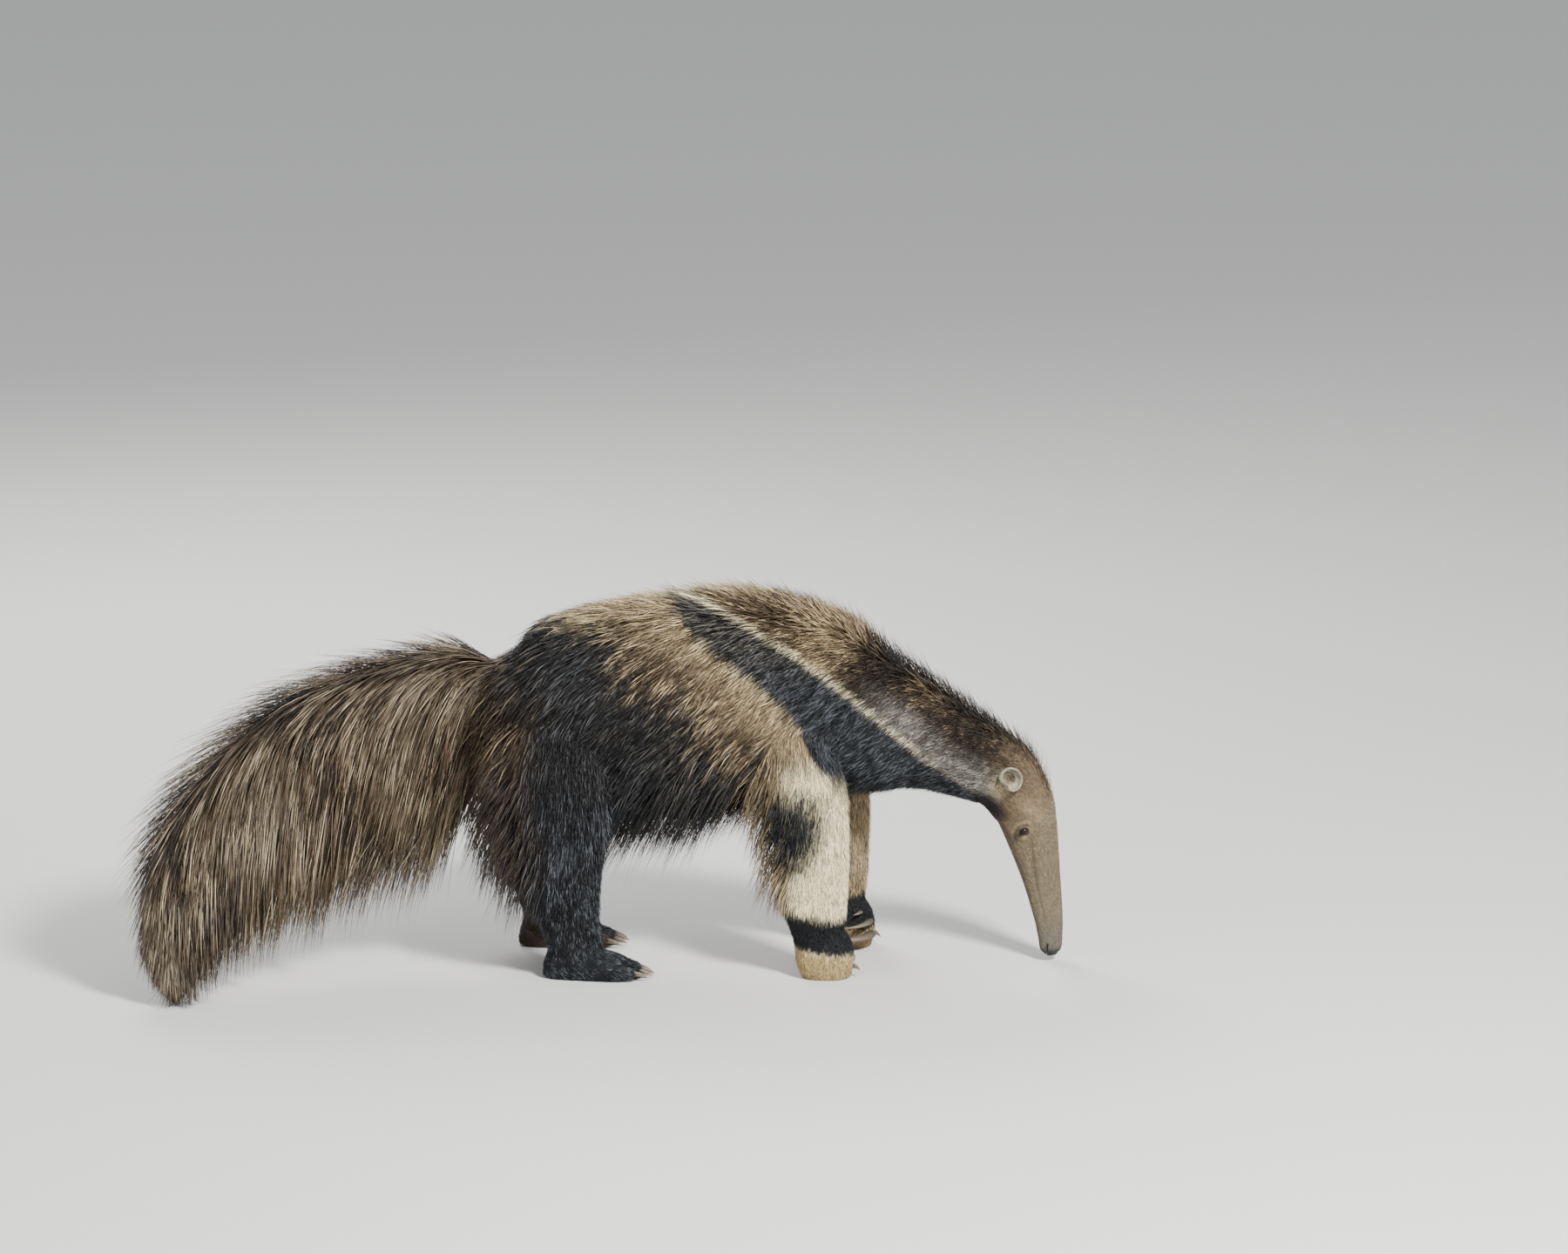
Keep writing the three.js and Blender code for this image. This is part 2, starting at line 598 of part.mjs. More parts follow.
// Claws, each cut clear of the foot that it grows from
for (const { name, side, ahead, behind, fore, foot, toes } of legs) {
  const paw = fore.solid({ grow: GAP });
  for (const one of FORE_CLAWS) {
    const body = claw(one, side, ahead).subtract(paw).subtract(ground);
    add(`foreclaw_${one.name}_${name}`, body, COLOURS.claw, ROUGHNESS.claw);
  }
  const grownFoot = foot.solid({ grow: GAP });
  toes.forEach((toe, i) => {
    const one = {
      ...HIND_CLAW,
      at: [toe.at.x + HIND_CLAW.ahead, toe.at.y * side, toe.at.z],
      aim: [1, HIND_CLAW.splay * toe.spread, 0.1],
      hook: [0, 0, -1],
    };
    const body = claw(one, side, 0).subtract(grownFoot).subtract(hindToeSolid(toe, GAP)).subtract(ground);
    add(`hindclaw_${i + 1}_${name}`, body, COLOURS.claw, ROUGHNESS.claw);
  });
}

// The origin is on the floor, under the middle of the whole animal
const bounds = new THREE.Box3().setFromObject(model);
const middle = bounds.getCenter(new THREE.Vector3());
model.position.set(-middle.x, -middle.y, -bounds.min.z);

export default model;
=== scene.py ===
# %% [markdown]
# # A giant anteater, walking with its nose at the ground
#
# The animal is 1.5 m long and has three kinds of hair: a coarse coat of 3 to 5 cm on the body,
# with a fringe of up to 16 cm along the belly, very short fur on the face and feet, and a curtain
# of hair up to 24 cm long that hangs from the tail. Underneath is one skin. The file makes the
# skin first, then works out which way the hair lies and what colour it has at each place, and last
# plants solid tufts on it.

# %% Load the packed model as the frame
import math

import bpy
import numpy as np
from mathutils import Matrix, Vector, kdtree


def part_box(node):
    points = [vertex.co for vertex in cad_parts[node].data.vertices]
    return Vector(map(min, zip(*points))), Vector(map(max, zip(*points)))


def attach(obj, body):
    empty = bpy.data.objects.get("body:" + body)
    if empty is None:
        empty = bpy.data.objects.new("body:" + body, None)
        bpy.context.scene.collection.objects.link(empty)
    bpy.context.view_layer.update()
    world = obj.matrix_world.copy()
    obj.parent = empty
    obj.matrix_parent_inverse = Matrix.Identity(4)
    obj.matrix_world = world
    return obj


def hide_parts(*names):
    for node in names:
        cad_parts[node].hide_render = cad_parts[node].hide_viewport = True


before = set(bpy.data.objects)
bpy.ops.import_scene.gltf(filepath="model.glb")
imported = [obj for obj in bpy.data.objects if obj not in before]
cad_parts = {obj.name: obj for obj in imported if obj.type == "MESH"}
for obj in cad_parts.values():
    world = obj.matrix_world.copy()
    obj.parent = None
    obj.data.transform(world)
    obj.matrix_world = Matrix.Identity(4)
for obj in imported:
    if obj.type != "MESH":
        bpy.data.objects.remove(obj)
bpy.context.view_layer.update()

# %% [markdown]
# ## The forms under the coat
#
# The body, the tail, the legs and the hind feet are lofts: ovals of named sizes, strung along a
# smooth line. The solids were made from the same ovals, so the skin fits them. Each row gives the
# middle of an oval in millimetres, half its height, half its width and how deep the coat is
# there. The last number, where there is one, is 2 for an ellipse and more for a fuller shape.
# The forms could be sculpted by hand too, but named sizes are easier to set right one by one.

# %% The sections of body, tail and legs
MM = 0.001
TRUNK = {
    "rumpEnd": [(-210, 0, 430), 40, 36, 12, 2.1],
    "rump": [(-176, 0, 422), 96, 82, 16, 2.1],
    "hips": [(-100, 0, 414), 150, 120, 18, 2.2],
    "loin": [(0, 0, 430), 172, 134, 17, 2.3],
    "ribs": [(125, 0, 444), 175, 140, 16, 2.3],
    "chest": [(230, 0, 448), 172, 135, 15, 2.3],
    "shoulders": [(338, 0, 428), 164, 118, 14, 2.2],
    "neckBase": [(430, 0, 399), 131, 98, 12, 2.1],
    "neck": [(522, 0, 373), 94, 79, 10, 2.1],
    "nape": [(606, 0, 336), 71, 64, 6, 2.1],
    "ears": [(652, 0, 310), 63, 58, 3.6, 2.1],
    "brow": [(682, 0, 266), 54, 51, 2.7, 2.1],
    "eyes": [(695, 0, 228), 47, 45, 2.1, 2.2],
    "snoutRoot": [(714, 0, 145), 33, 31, 1.4, 2.2],
    "snout": [(726, 0, 80), 25, 24, 1, 2.2],
    "muzzle": [(730, 0, 44), 20.5, 20, 0.6, 2.3],
    "lips": [(731, 0, 22), 17.5, 18, 0.2, 2.3],
    "noseEnd": [(731.5, 0, 13), 10.5, 11.5, 0.2, 2.3],
}
TAIL = {
    "root": [(-140, 0, 424), 88, 58, 12],
    "base": [(-225, -4, 409), 110, 45, 8],
    "upper": [(-325, -20, 391), 114, 41, 8],
    "middle": [(-420, -52, 367), 111, 39, 8],
    "lower": [(-506, -96, 328), 104, 37, 8],
    "end": [(-583, -146, 274), 90, 34, 8],
    "bend": [(-642, -194, 207), 72, 30, 8],
    "tuft": [(-676, -240, 130), 49, 25, 8],
    "tip": [(-684, -280, 62), 25, 16, 6],
}
FORELEG = {
    "shoulder": [(300, 72, 400), 60, 44, 8],
    "upper": [(322, 90, 325), 76, 53, 8],
    "elbow": [(336, 102, 250), 69, 54, 7],
    "forearm": [(342, 106, 175), 62, 49, 6],
    "wristTop": [(347, 106, 112), 54, 45, 5],
    "wrist": [(352, 105, 74), 45, 40, 4],
    "knuckles": [(361, 104, 40), 50, 42, 3.5],
    "fist": [(364, 103, 14), 46, 39, 3],
    "sole": [(364, 103, -8), 36, 31, 3],
}
HINDLEG = {
    "hip": [(-70, 66, 420), 86, 54, 12],
    "thigh": [(-72, 92, 335), 100, 62, 12],
    "knee": [(-64, 104, 250), 90, 59, 11],
    "shin": [(-60, 108, 175), 68, 51, 8],
    "hock": [(-52, 107, 110), 54, 44, 6],
    "ankle": [(-44, 105, 62), 47, 39, 5],
    "instep": [(-38, 105, 30), 47, 37, 4],
}
HINDFOOT = {
    "heelEnd": [(-94, 104, 20), 16, 18, 3],
    "heel": [(-76, 104, 20), 30, 30, 3],
    "arch": [(-30, 106, 20), 36, 37, 3],
    "ball": [(18, 108, 14), 29, 42, 3],
    "toes": [(42, 108, 8), 20, 38, 3],
    "toeEnd": [(54, 108, 6), 9, 28, 3],
}
FULLNESS = 2.3  # the last number of a row that doesn't give one
SIDES = {"left": 1, "right": -1}
STEP_AHEAD = {"left": 36, "right": 0}  # how far each foreleg has stepped ahead, in millimetres
STEP_BEHIND = {"left": -46, "right": 0}  # and each hindleg
LEFT = np.array([0.0, 1.0, 0.0])
UP = np.array([0.0, 0.0, 1.0])
print("ovals:", sum(len(rows) for rows in (TRUNK, TAIL, FORELEG, HINDLEG, HINDFOOT)))

# %% [markdown]
# This spline is a curve that passes through all its points, which makes it handy for a form that
# is measured at a few places. The same spline carries the middles and the sizes.

# %% Splines


def unit(vectors):
    """Vectors made one unit long."""
    return vectors / np.maximum(np.linalg.norm(vectors, axis=-1, keepdims=True), 1e-12)


def spline(rows, t):
    """Values between the rows, at places t from 0 to 1."""
    rows = np.asarray(rows, float)
    last = len(rows) - 1
    place = np.clip(np.asarray(t, float), 0, 1) * last
    low = np.minimum(place.astype(int), last - 1)
    w = (place - low)[..., None]
    padded = np.vstack([2 * rows[0] - rows[1], rows, 2 * rows[-1] - rows[-2]])
    a, b, c, d = (padded[low + i] for i in range(4))
    slope_b, slope_c = 0.5 * (c - a), 0.5 * (d - b)
    cubic = 2 * b - 2 * c + slope_b + slope_c
    square = -3 * b + 3 * c - 2 * slope_b - slope_c
    return cubic * w**3 + square * w**2 + slope_b * w + b


print("halfway from 0 to 1 the spline gives", float(spline([[0], [1]], 0.5)[0]))

# %% [markdown]
# A loft puts an oval at each place of its line, square to the line's direction there. It gives
# the point at any angle round the oval, so the same loft makes the skin and tells the hair later
# which way is along and which way is up.

# %% Lofts


class Loft:
    """Ovals along a line. A place on it is t, along the line, and an angle round it: 0 is the
    side, 90 degrees the top."""

    def __init__(self, sections, across=LEFT, side=1, shift=0.0):
        self.names = list(sections)
        self.last = len(sections) - 1
        self.across = across
        rows = list(sections.values())
        self.middles = np.array([(x + shift, y * side, z) for (x, y, z), *_ in rows]) * MM
        self.sizes = np.array([row[1:3] for row in rows]) * MM
        self.coat = np.array([row[3:4] for row in rows]) * MM
        self.square = np.array([row[4:5] or [FULLNESS] for row in rows])

    def level(self, name):
        """The place t of a named section."""
        return self.names.index(name) / self.last

    def frame(self, t):
        """Three directions at t: along the loft, to its side, and to its top."""
        step = 1e-4
        ahead = spline(self.middles, np.minimum(np.asarray(t) + step, 1))
        along = unit(ahead - spline(self.middles, np.maximum(np.asarray(t) - step, 0)))
        wide = unit(self.across - along * (along @ self.across)[..., None])
        return along, wide, np.cross(along, wide)

    def points(self, t, angle, deeper=None):
        """Points on the skin, or as far inside the solids' surface as deeper says."""
        t, angle = np.broadcast_arrays(np.asarray(t, float), np.asarray(angle, float))
        _, wide, tall = self.frame(t)
        depth = spline(self.coat, t) if deeper is None else deeper
        half = spline(self.sizes, t) - depth
        power = 2 / spline(self.square, t)[..., 0]
        across, up = np.cos(angle), np.sin(angle)
        sideways = np.sign(across) * np.abs(across) ** power * half[..., 1]
        upwards = np.sign(up) * np.abs(up) ** power * half[..., 0]
        return spline(self.middles, t) + wide * sideways[..., None] + tall * upwards[..., None]

    def stations(self, spacing):
        """Places along the loft, as far apart as spacing gives for each section's name."""
        found = []
        for i, name in enumerate(self.names[:-1]):
            gap = np.linalg.norm(self.middles[i + 1] - self.middles[i])
            count = max(2, round(gap / spacing(name)))
            found += [(i + k / count) / self.last for k in range(count)]
        return np.array(found + [1.0])


trunk = Loft(TRUNK)
tail = Loft(TAIL, across=-LEFT)
print("sections:", len(TRUNK), "in the trunk and", len(TAIL), "in the tail")

# %% [markdown]
# The solids were moved so that the origin is on the floor, under the animal's middle. The right
# eye's box says by how much, so every form can be written in its own plain numbers and moved once.

# %% Where the frame's origin is
EYE = {"level": "eyes", "angle": math.radians(-12), "sink": 5 * MM, "radius": 7.2 * MM}
EAR = {"level": "ears", "angle": math.radians(6), "sink": 7 * MM}


def on_head(place, side, deeper=None):
    """A point on the head, given by its level and angle on the left side."""
    sink = place["sink"] if deeper is None else deeper
    point = trunk.points(trunk.level(place["level"]), place["angle"], sink)
    return point * [1, side, 1]


low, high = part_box("eye_right")
origin = (np.array(low) + np.array(high)) / 2 - on_head(EYE, SIDES["right"])
print("forms are moved by", np.round(origin * 1000, 1), "mm")

# %% [markdown]
# ## The skin, as closed tubes
#
# Each form becomes a closed tube of quads. The rings are 2.5 mm apart on the face, where folds
# have to show, and 5 to 8 mm apart under the long coat.

# %% Make a closed tube from rings of points


def mesh_object(name, points, faces):
    """A mesh object at the origin."""
    mesh = bpy.data.meshes.new(name)
    mesh.from_pydata(np.asarray(points).tolist(), [], [list(face) for face in faces])
    made = bpy.data.objects.new(name, mesh)
    bpy.context.scene.collection.objects.link(made)
    return made


def closed_form(rings, dome=0.0):
    """Points and faces of a closed tube through rings. dome rounds its last end by so much."""
    if dome:
        middle = rings[-1].mean(0)
        ahead = unit(middle - rings[-2].mean(0))
        turns = np.radians([25, 50, 72])
        ends = [middle + (rings[-1] - middle) * np.cos(a) + ahead * dome * np.sin(a) for a in turns]
        rings = np.concatenate([rings, ends])
        tip = middle + ahead * dome
    else:
        tip = rings[-1].mean(0)
    count, sides = rings.shape[:2]
    points = np.vstack([rings[0].mean(0), rings.reshape(-1, 3), tip])
    here = 1 + np.arange(count)[:, None] * sides + np.arange(sides)
    beside = np.roll(here, -1, axis=1)
    quads = np.stack([here[:-1], beside[:-1], beside[1:], here[1:]], -1).reshape(-1, 4)
    first = [(0, b, a) for a, b in zip(here[0], beside[0])]
    last = [(a, b, len(points) - 1) for a, b in zip(here[-1], beside[-1])]
    faces = [tuple(map(int, face)) for face in [*quads, *first, *last]]
    # faces have to look outwards, whichever way round the rings run
    spokes = rings[1] - rings[1].mean(0)
    winding = np.cross(spokes, np.roll(spokes, -1, axis=0)).sum(0)
    if winding @ (rings[1].mean(0) - rings[0].mean(0)) < 0:
        faces = [face[::-1] for face in faces]
    return points, faces


def tube(name, rings, dome=0.0):
    """A closed tube through rings, as an object."""
    return mesh_object(name, *closed_form(rings, dome))


def ball(name, middle, axes, sides=24, rows=14):
    """An ellipsoid. axes are its three half axes as vectors."""
    turn = np.linspace(0, np.pi, rows)[1:-1, None, None]
    around = np.linspace(0, 2 * np.pi, sides, endpoint=False)[None, :, None]
    a, b, c = np.asarray(axes, float)
    rings = np.sin(turn) * (np.cos(around) * a + np.sin(around) * b) - np.cos(turn) * c
    made = tube(name, middle + rings)
    made.data.vertices[0].co = middle - c
    made.data.vertices[-1].co = middle + c
    return made


ring = np.array([(0, 0, 0), (1, 0, 0), (0, 1, 0)])
corners, walls = closed_form(np.array([ring, ring + UP]))
print("a short tube with three sides has", len(corners), "points and", len(walls), "faces")

# %% [markdown]
# The face isn't a plain cone: lids stand out round the eye, the brow has a ridge, the skin folds
# below the eye, and the lips close over the slit of the mouth. A sculptor would push these out of
# the clay. Here each one is a smooth hill or groove, added to the tube in the same way.

# %% The face's relief
EYE_BULGE = 2.2 * MM
LID = {"thick": 1.0 * MM, "long": 7.6 * MM, "tall": 4.9 * MM, "tilt": math.radians(48)}
MOUTH = {"x": 724 * MM, "lean": math.radians(4), "slit": 1.8 * MM, "top": 32 * MM}
MOUTH.update({"pivot": 8 * MM, "bottom": -10 * MM, "inner": 13 * MM, "outer": 40 * MM, "tip_top": 14.5 * MM})
TRUNK_SIDES = 144  # points in each ring of the trunk


def bump_at(distance, wide):
    """A smooth hill of height 1, so wide."""
    return np.exp(-((distance / wide) ** 2))


def gaze(side):
    """The way the eye looks: straight out of the head."""
    return unit(on_head(EYE, side, 0) - on_head(EYE, side))


def lid_axes(side):
    """The long and the short way of the opening between the lids, seen from the side."""
    look = gaze(side)
    long = np.array([math.sin(LID["tilt"]), 0, math.cos(LID["tilt"])])
    long = unit(long - look * (long @ look))
    return long, np.cross(look, long) * -side


def face_relief(points, t, angle):
    """How far the face stands out of its plain ovals, in metres. aside is in degrees round the
    head, 0 at its side and 90 at its top, and below counts sections from the eye to the nose."""
    section = t * trunk.last
    mirrored = points * [1, 0, 1] + np.abs(points) * [0, 1, 0]
    aside = np.degrees(np.arctan2(np.sin(angle), np.abs(np.cos(angle))))
    on_face = np.clip((section - 9.6) / 1.2, 0, 1)
    eye = on_head(EYE, 1)
    away = np.linalg.norm(mirrored - eye, axis=-1)
    long, short = lid_axes(1)
    from_edge = np.hypot((mirrored - eye) @ long / LID["long"], (mirrored - eye) @ short / LID["tall"])
    over = np.clip((mirrored - eye) @ short / LID["tall"], -1, 1)
    below = section - trunk.level("eyes") * trunk.last
    lift = EYE_BULGE * bump_at(away - 5 * MM, 9 * MM)  # the flesh that the eye pushes out
    lift += 0.9 * MM * bump_at(from_edge - 1.25, 0.2)  # the rim of the lids
    lift -= (1.1 + 0.5 * over) * MM * bump_at(from_edge - 1.72, 0.2)  # a groove round them
    lift += (0.7 + 0.7 * over) * MM * bump_at(from_edge - 2.2, 0.26)  # the next fold, heavier above
    lift -= 0.6 * MM * bump_at(from_edge - 2.75, 0.2) * (over < 0.4)  # and its groove, below the eye
    lift += 1.6 * MM * bump_at(below + 0.22, 0.16) * bump_at(aside - 16, 16)  # the brow
    lift += 2.0 * MM * bump_at(below + 0.15, 0.5) * bump_at(aside + 44, 16)  # the cheek
    folds = np.sin((below * 60 * MM + aside * 0.2 * MM) / (1.15 * MM))
    lift += 0.5 * MM * folds * bump_at(below - 0.3, 0.16) * bump_at(aside + 22, 18)
    lift += 0.35 * MM * folds * bump_at(below + 0.42, 0.16) * bump_at(aside + 30, 14)
    lift -= 1.0 * MM * bump_at(aside + 24 - 4 * below, 7) * bump_at(below - 1.6, 1.1)  # above the jaw
    lift += 0.9 * MM * bump_at(aside + 50, 16) * bump_at(below - 2.2, 1.2)  # the jaw
    lips = bump_at(points[..., 0] - MOUTH["x"] + 1 * MM, 2.6 * MM)
    lift += 0.8 * MM * lips * np.clip((MOUTH["top"] + 4 * MM - points[..., 2]) / (8 * MM), 0, 1)
    wrinkle = np.sin(points[..., 2] / (1.3 * MM) + 3 * np.sin(aside / 25))
    lift += 0.16 * MM * wrinkle * bump_at(below - 3.6, 1.0)
    return lift * on_face


def trunk_rings():
    """The skin of body and head, with the face's relief."""
    fine = trunk.names.index("nape")
    t = trunk.stations(lambda name: 2.5 * MM if trunk.names.index(name) >= fine else 6 * MM)
    angle = (np.arange(TRUNK_SIDES) + 0.5) / TRUNK_SIDES * 2 * np.pi
    t, angle = t[:, None], angle[None, :]
    rings = trunk.points(t, angle)
    _, wide, tall = trunk.frame(t[:, 0])
    out = wide[:, None] * np.cos(angle)[..., None] + tall[:, None] * np.sin(angle)[..., None]
    t, angle = np.broadcast_arrays(t, angle)
    return rings + out * face_relief(rings, t, angle)[..., None], t, angle


print("an eyelid stands out by", EYE_BULGE * 1000, "mm")

# %% [markdown]
# ## One skin from all the forms
#
# The tubes are joined by a Boolean modifier with the Manifold solver, which is quick and leaves a
# closed skin. A voxel remesh would join them too, but it would blur the lids and the lips. A
# second Boolean cuts the soles flat, opens the lids over the eyes, and cuts the nostrils and the
# mouth. Each form is remembered with its place t and angle, because the coat needs to know later
# which form a piece of skin came from.

# %% Build the tubes
sources = []  # one row for each form: its region's name, points, t and angle


def remember(region, made, t=0.0, angle=0.0):
    """Keeps where each point of a form is, for later."""
    points = np.array([v.co for v in made.data.vertices])
    count = len(points)
    places = [np.broadcast_to(value, count).astype(float) for value in (t, angle)]
    sources.append((region, points, *places))
    return made


def with_poles(values):
    """A value for each ring point, and one for the poles before and after."""
    return np.concatenate([[values.flat[0]], values.ravel(), [values.flat[-1]]])


def loft_skin(region, form, sides, spacing):
    """The tube of a plain form, remembered under its region's name."""
    t = form.stations(lambda name: spacing)[:, None]
    angle = (np.arange(sides) + 0.5)[None, :] / sides * 2 * np.pi
    made = tube(region, form.points(t, angle))
    t, angle = np.broadcast_arrays(t, angle)
    return remember(region, made, with_poles(t), with_poles(angle))


rings, t_ring, angle_ring = trunk_rings()
skin = tube("skin", rings, dome=4 * MM)
count = len(skin.data.vertices) - t_ring.size - 1
t_all = np.concatenate([[0.0], t_ring.ravel(), np.ones(count)])
angle_all = np.concatenate([[0.0], angle_ring.ravel(), np.zeros(count)])
remember("trunk", skin, t_all, angle_all)

joined = [loft_skin("tail", tail, 48, 8 * MM)]
legs = {}
for name, side in SIDES.items():
    fore = Loft(FORELEG, side=side, shift=STEP_AHEAD[name])
    hind = Loft(HINDLEG, side=side, shift=STEP_BEHIND[name])
    foot = Loft(HINDFOOT, side=side, shift=STEP_BEHIND[name])
    legs[name] = {"fore": fore, "hind": hind, "foot": foot}
    joined.append(loft_skin(f"foreleg_{name}", fore, 48, 6 * MM))
    joined.append(loft_skin(f"hindleg_{name}", hind, 48, 7 * MM))
    joined.append(loft_skin(f"hindfoot_{name}", foot, 40, 5 * MM))
print("tubes:", 1 + len(joined))

# %% [markdown]
# The hind foot has five short toes, each an ellipsoid in front of the foot. The front toes are
# hidden in the fist, because the animal walks on its knuckles with the claws turned in.

# %% Toes
TOES = {"count": 5, "middle": (50, 108, 12), "fan": 31, "back": 12, "round": (19, 9.5, 14)}
TOE_COAT = 2  # how deep the fur is on a toe, in millimetres


def hind_toe(number, name):
    """The middle of a toe, in metres, and how far it is splayed, from -1 to 1."""
    spread = 2 * number / (TOES["count"] - 1) - 1
    x, y, z = TOES["middle"]
    x += STEP_BEHIND[name] - TOES["back"] * spread**2
    return np.array([x, SIDES[name] * (y + TOES["fan"] * spread), z]) * MM, spread


for name in SIDES:
    for number in range(TOES["count"]):
        middle, _ = hind_toe(number, name)
        axes = np.diag([half - TOE_COAT for half in TOES["round"]]) * MM
        toe = ball(f"toe_{number}_{name}", middle, axes)
        joined.append(remember(f"hindfoot_{name}", toe, 0.9, 0.0))
print("toes on each hindfoot:", TOES["count"])

# %% [markdown]
# The ears are thin cups, open outwards and a little forwards. A cup is one tube that runs up the
# outside, over the rim and down the inside again.

# %% Ears
EAR_CUP = {"radius": 20 * MM, "depth": 17 * MM, "wall": 2.2 * MM, "open": (0.42, 1, 0.16)}
EAR_CUP.update({"notch": 0.55, "notch_at": 2.3, "notch_wide": 0.6, "ridge": 1.6 * MM})
EAR_CUP.update({"rings": 29, "sides": 56})


def ear_cup(name, side):
    """A cup with a notch in the rear of its rim and a ridge inside."""
    out = unit(np.array(EAR_CUP["open"]) * [1, side, 1])
    first = unit(UP - out * (UP @ out))
    second = np.cross(out, first)
    u = np.linspace(0.08, 1, EAR_CUP["rings"] // 2)
    around = np.linspace(0, 2 * np.pi, EAR_CUP["sides"], endpoint=False)
    reach = EAR_CUP["radius"] * np.sin(u * np.pi / 2) ** 0.8
    height = EAR_CUP["depth"] * u**2
    inner_reach = np.maximum(reach - EAR_CUP["wall"] * np.clip(u * 4, 0.3, 1), 0.3 * MM)
    inner_height = EAR_CUP["wall"] + (EAR_CUP["depth"] - EAR_CUP["wall"] / 2) * u**2
    rim = [((reach[-1] + inner_reach[-1]) / 2, inner_height[-1] + 0.7 * MM)]
    profile = [*zip(reach, height), *rim, *zip(inner_reach[::-1], inner_height[::-1])]
    turned = around + side * EAR_CUP["notch_at"]
    behind = np.arctan2(np.sin(turned), np.cos(turned))
    rings = []
    for i, (r, h) in enumerate(profile):
        share = min(1.0, r / EAR_CUP["radius"])
        notch = 1 - EAR_CUP["notch"] * share**3 * bump_at(behind, EAR_CUP["notch_wide"])
        ridge = EAR_CUP["ridge"] * bump_at(share - 0.55, 0.16) * np.clip(np.cos(behind), 0, 1) * (i > len(u))
        circle = np.cos(around)[:, None] * first + np.sin(around)[:, None] * second
        rings.append(circle * (r * notch)[:, None] + out * (h + ridge)[:, None])
    return tube(f"ear_{name}", on_head(EAR, side) + np.array(rings))


for name, side in SIDES.items():
    cup = ear_cup(name, side)
    inwards = np.repeat(np.linspace(0, 1, EAR_CUP["rings"]), EAR_CUP["sides"])
    joined.append(remember(f"ear_{name}", cup, with_poles(inwards)))
print("ears are", EAR_CUP["radius"] * 2000, "mm across")

# %% [markdown]
# Each pair of lids is a ball a little larger than the eye. An almond, cut out of it, is the
# opening between them, and a ball as large as the eye clears the room for it. The nostrils are
# small ellipsoids. The mouth of an anteater is a slit at the end of the snout, cut by one flat box
# on each side and one across the tip. The largest box cuts off all that is below the floor.

# %% Lids and the cutters
NOSTRIL = {"apart": 6.2 * MM, "below": 1 * MM, "sink": 1.5 * MM, "size": (5, 1.9, 2.7)}


def block(name, low, high, lean=0.0):
    """A box between two corners, leaned about Y round a line at the height of the mouth's pivot."""
    xs, ys, zs = zip(low, high)
    corners = np.array([(x, y, z) for x in xs for y in ys for z in zs])
    faces = [(0, 1, 3, 2), (4, 6, 7, 5), (0, 4, 5, 1), (2, 3, 7, 6), (0, 2, 6, 4), (1, 5, 7, 3)]
    pivot = np.array([(low[0] + high[0]) / 2, 0, MOUTH["pivot"]])
    turn = np.array([[math.cos(lean), 0, math.sin(lean)], [0, 1, 0], [-math.sin(lean), 0, math.cos(lean)]])
    return mesh_object(name, (corners - pivot) @ turn.T + pivot, faces)


def slit_cutter(name, right, left, top):
    """Cuts the mouth open between two places across it, up to top."""
    front, rear = MOUTH["x"] + MOUTH["slit"] / 2, MOUTH["x"] - MOUTH["slit"] / 2
    return block(name, (rear, right, MOUTH["bottom"]), (front, left, top), MOUTH["lean"])


SOCKET_ROOM = 0.05 * MM
OVERLAP = 0.1 * MM  # how far the box across the tip reaches into the others
cutters = []
for name, side in SIDES.items():
    eye, look = on_head(EYE, side), gaze(side)
    radius = EYE["radius"] + LID["thick"]
    lids = ball(f"lids_{name}", eye, np.eye(3) * radius, 40, 26)
    joined.append(remember(f"lids_{name}", lids, trunk.level(EYE["level"]), EYE["angle"]))
    long, short = lid_axes(side)
    almond = [long * LID["long"], short * LID["tall"], look * 9 * MM]
    cutters.append(ball(f"almond_{name}", eye + look * 7 * MM, almond, 36, 24))
    cutters.append(ball(f"socket_{name}", eye, np.eye(3) * (EYE["radius"] + SOCKET_ROOM), 40, 26))
    lips = trunk.names.index("lips")
    front = trunk.sizes[lips, 0] - NOSTRIL["sink"]
    pit = trunk.middles[lips] + np.array([front, side * NOSTRIL["apart"], -NOSTRIL["below"]])
    cutters.append(ball(f"nostril_{name}", pit, np.diag(NOSTRIL["size"]) * MM, 20, 12))
    right, left = sorted((side * MOUTH["inner"], side * MOUTH["outer"]))
    cutters.append(slit_cutter(f"mouth_{name}", right, left, MOUTH["top"]))
across_tip = MOUTH["inner"] + OVERLAP
cutters.append(slit_cutter("mouth_tip", -across_tip, across_tip, MOUTH["tip_top"]))
cutters.append(block("ground", (-2, -1, -0.5), (2, 1, 0)))
print("cutters:", len(cutters))

# %% [markdown]
# A Boolean modifier may take a whole collection as its other side. The evaluated mesh is kept and
# the modifier goes away, so the skin ends as plain mesh.

# %% Join and cut


def plain_mesh(made):
    """The mesh that an object has with its modifiers."""
    shown = made.evaluated_get(bpy.context.evaluated_depsgraph_get())
    return bpy.data.meshes.new_from_object(shown)


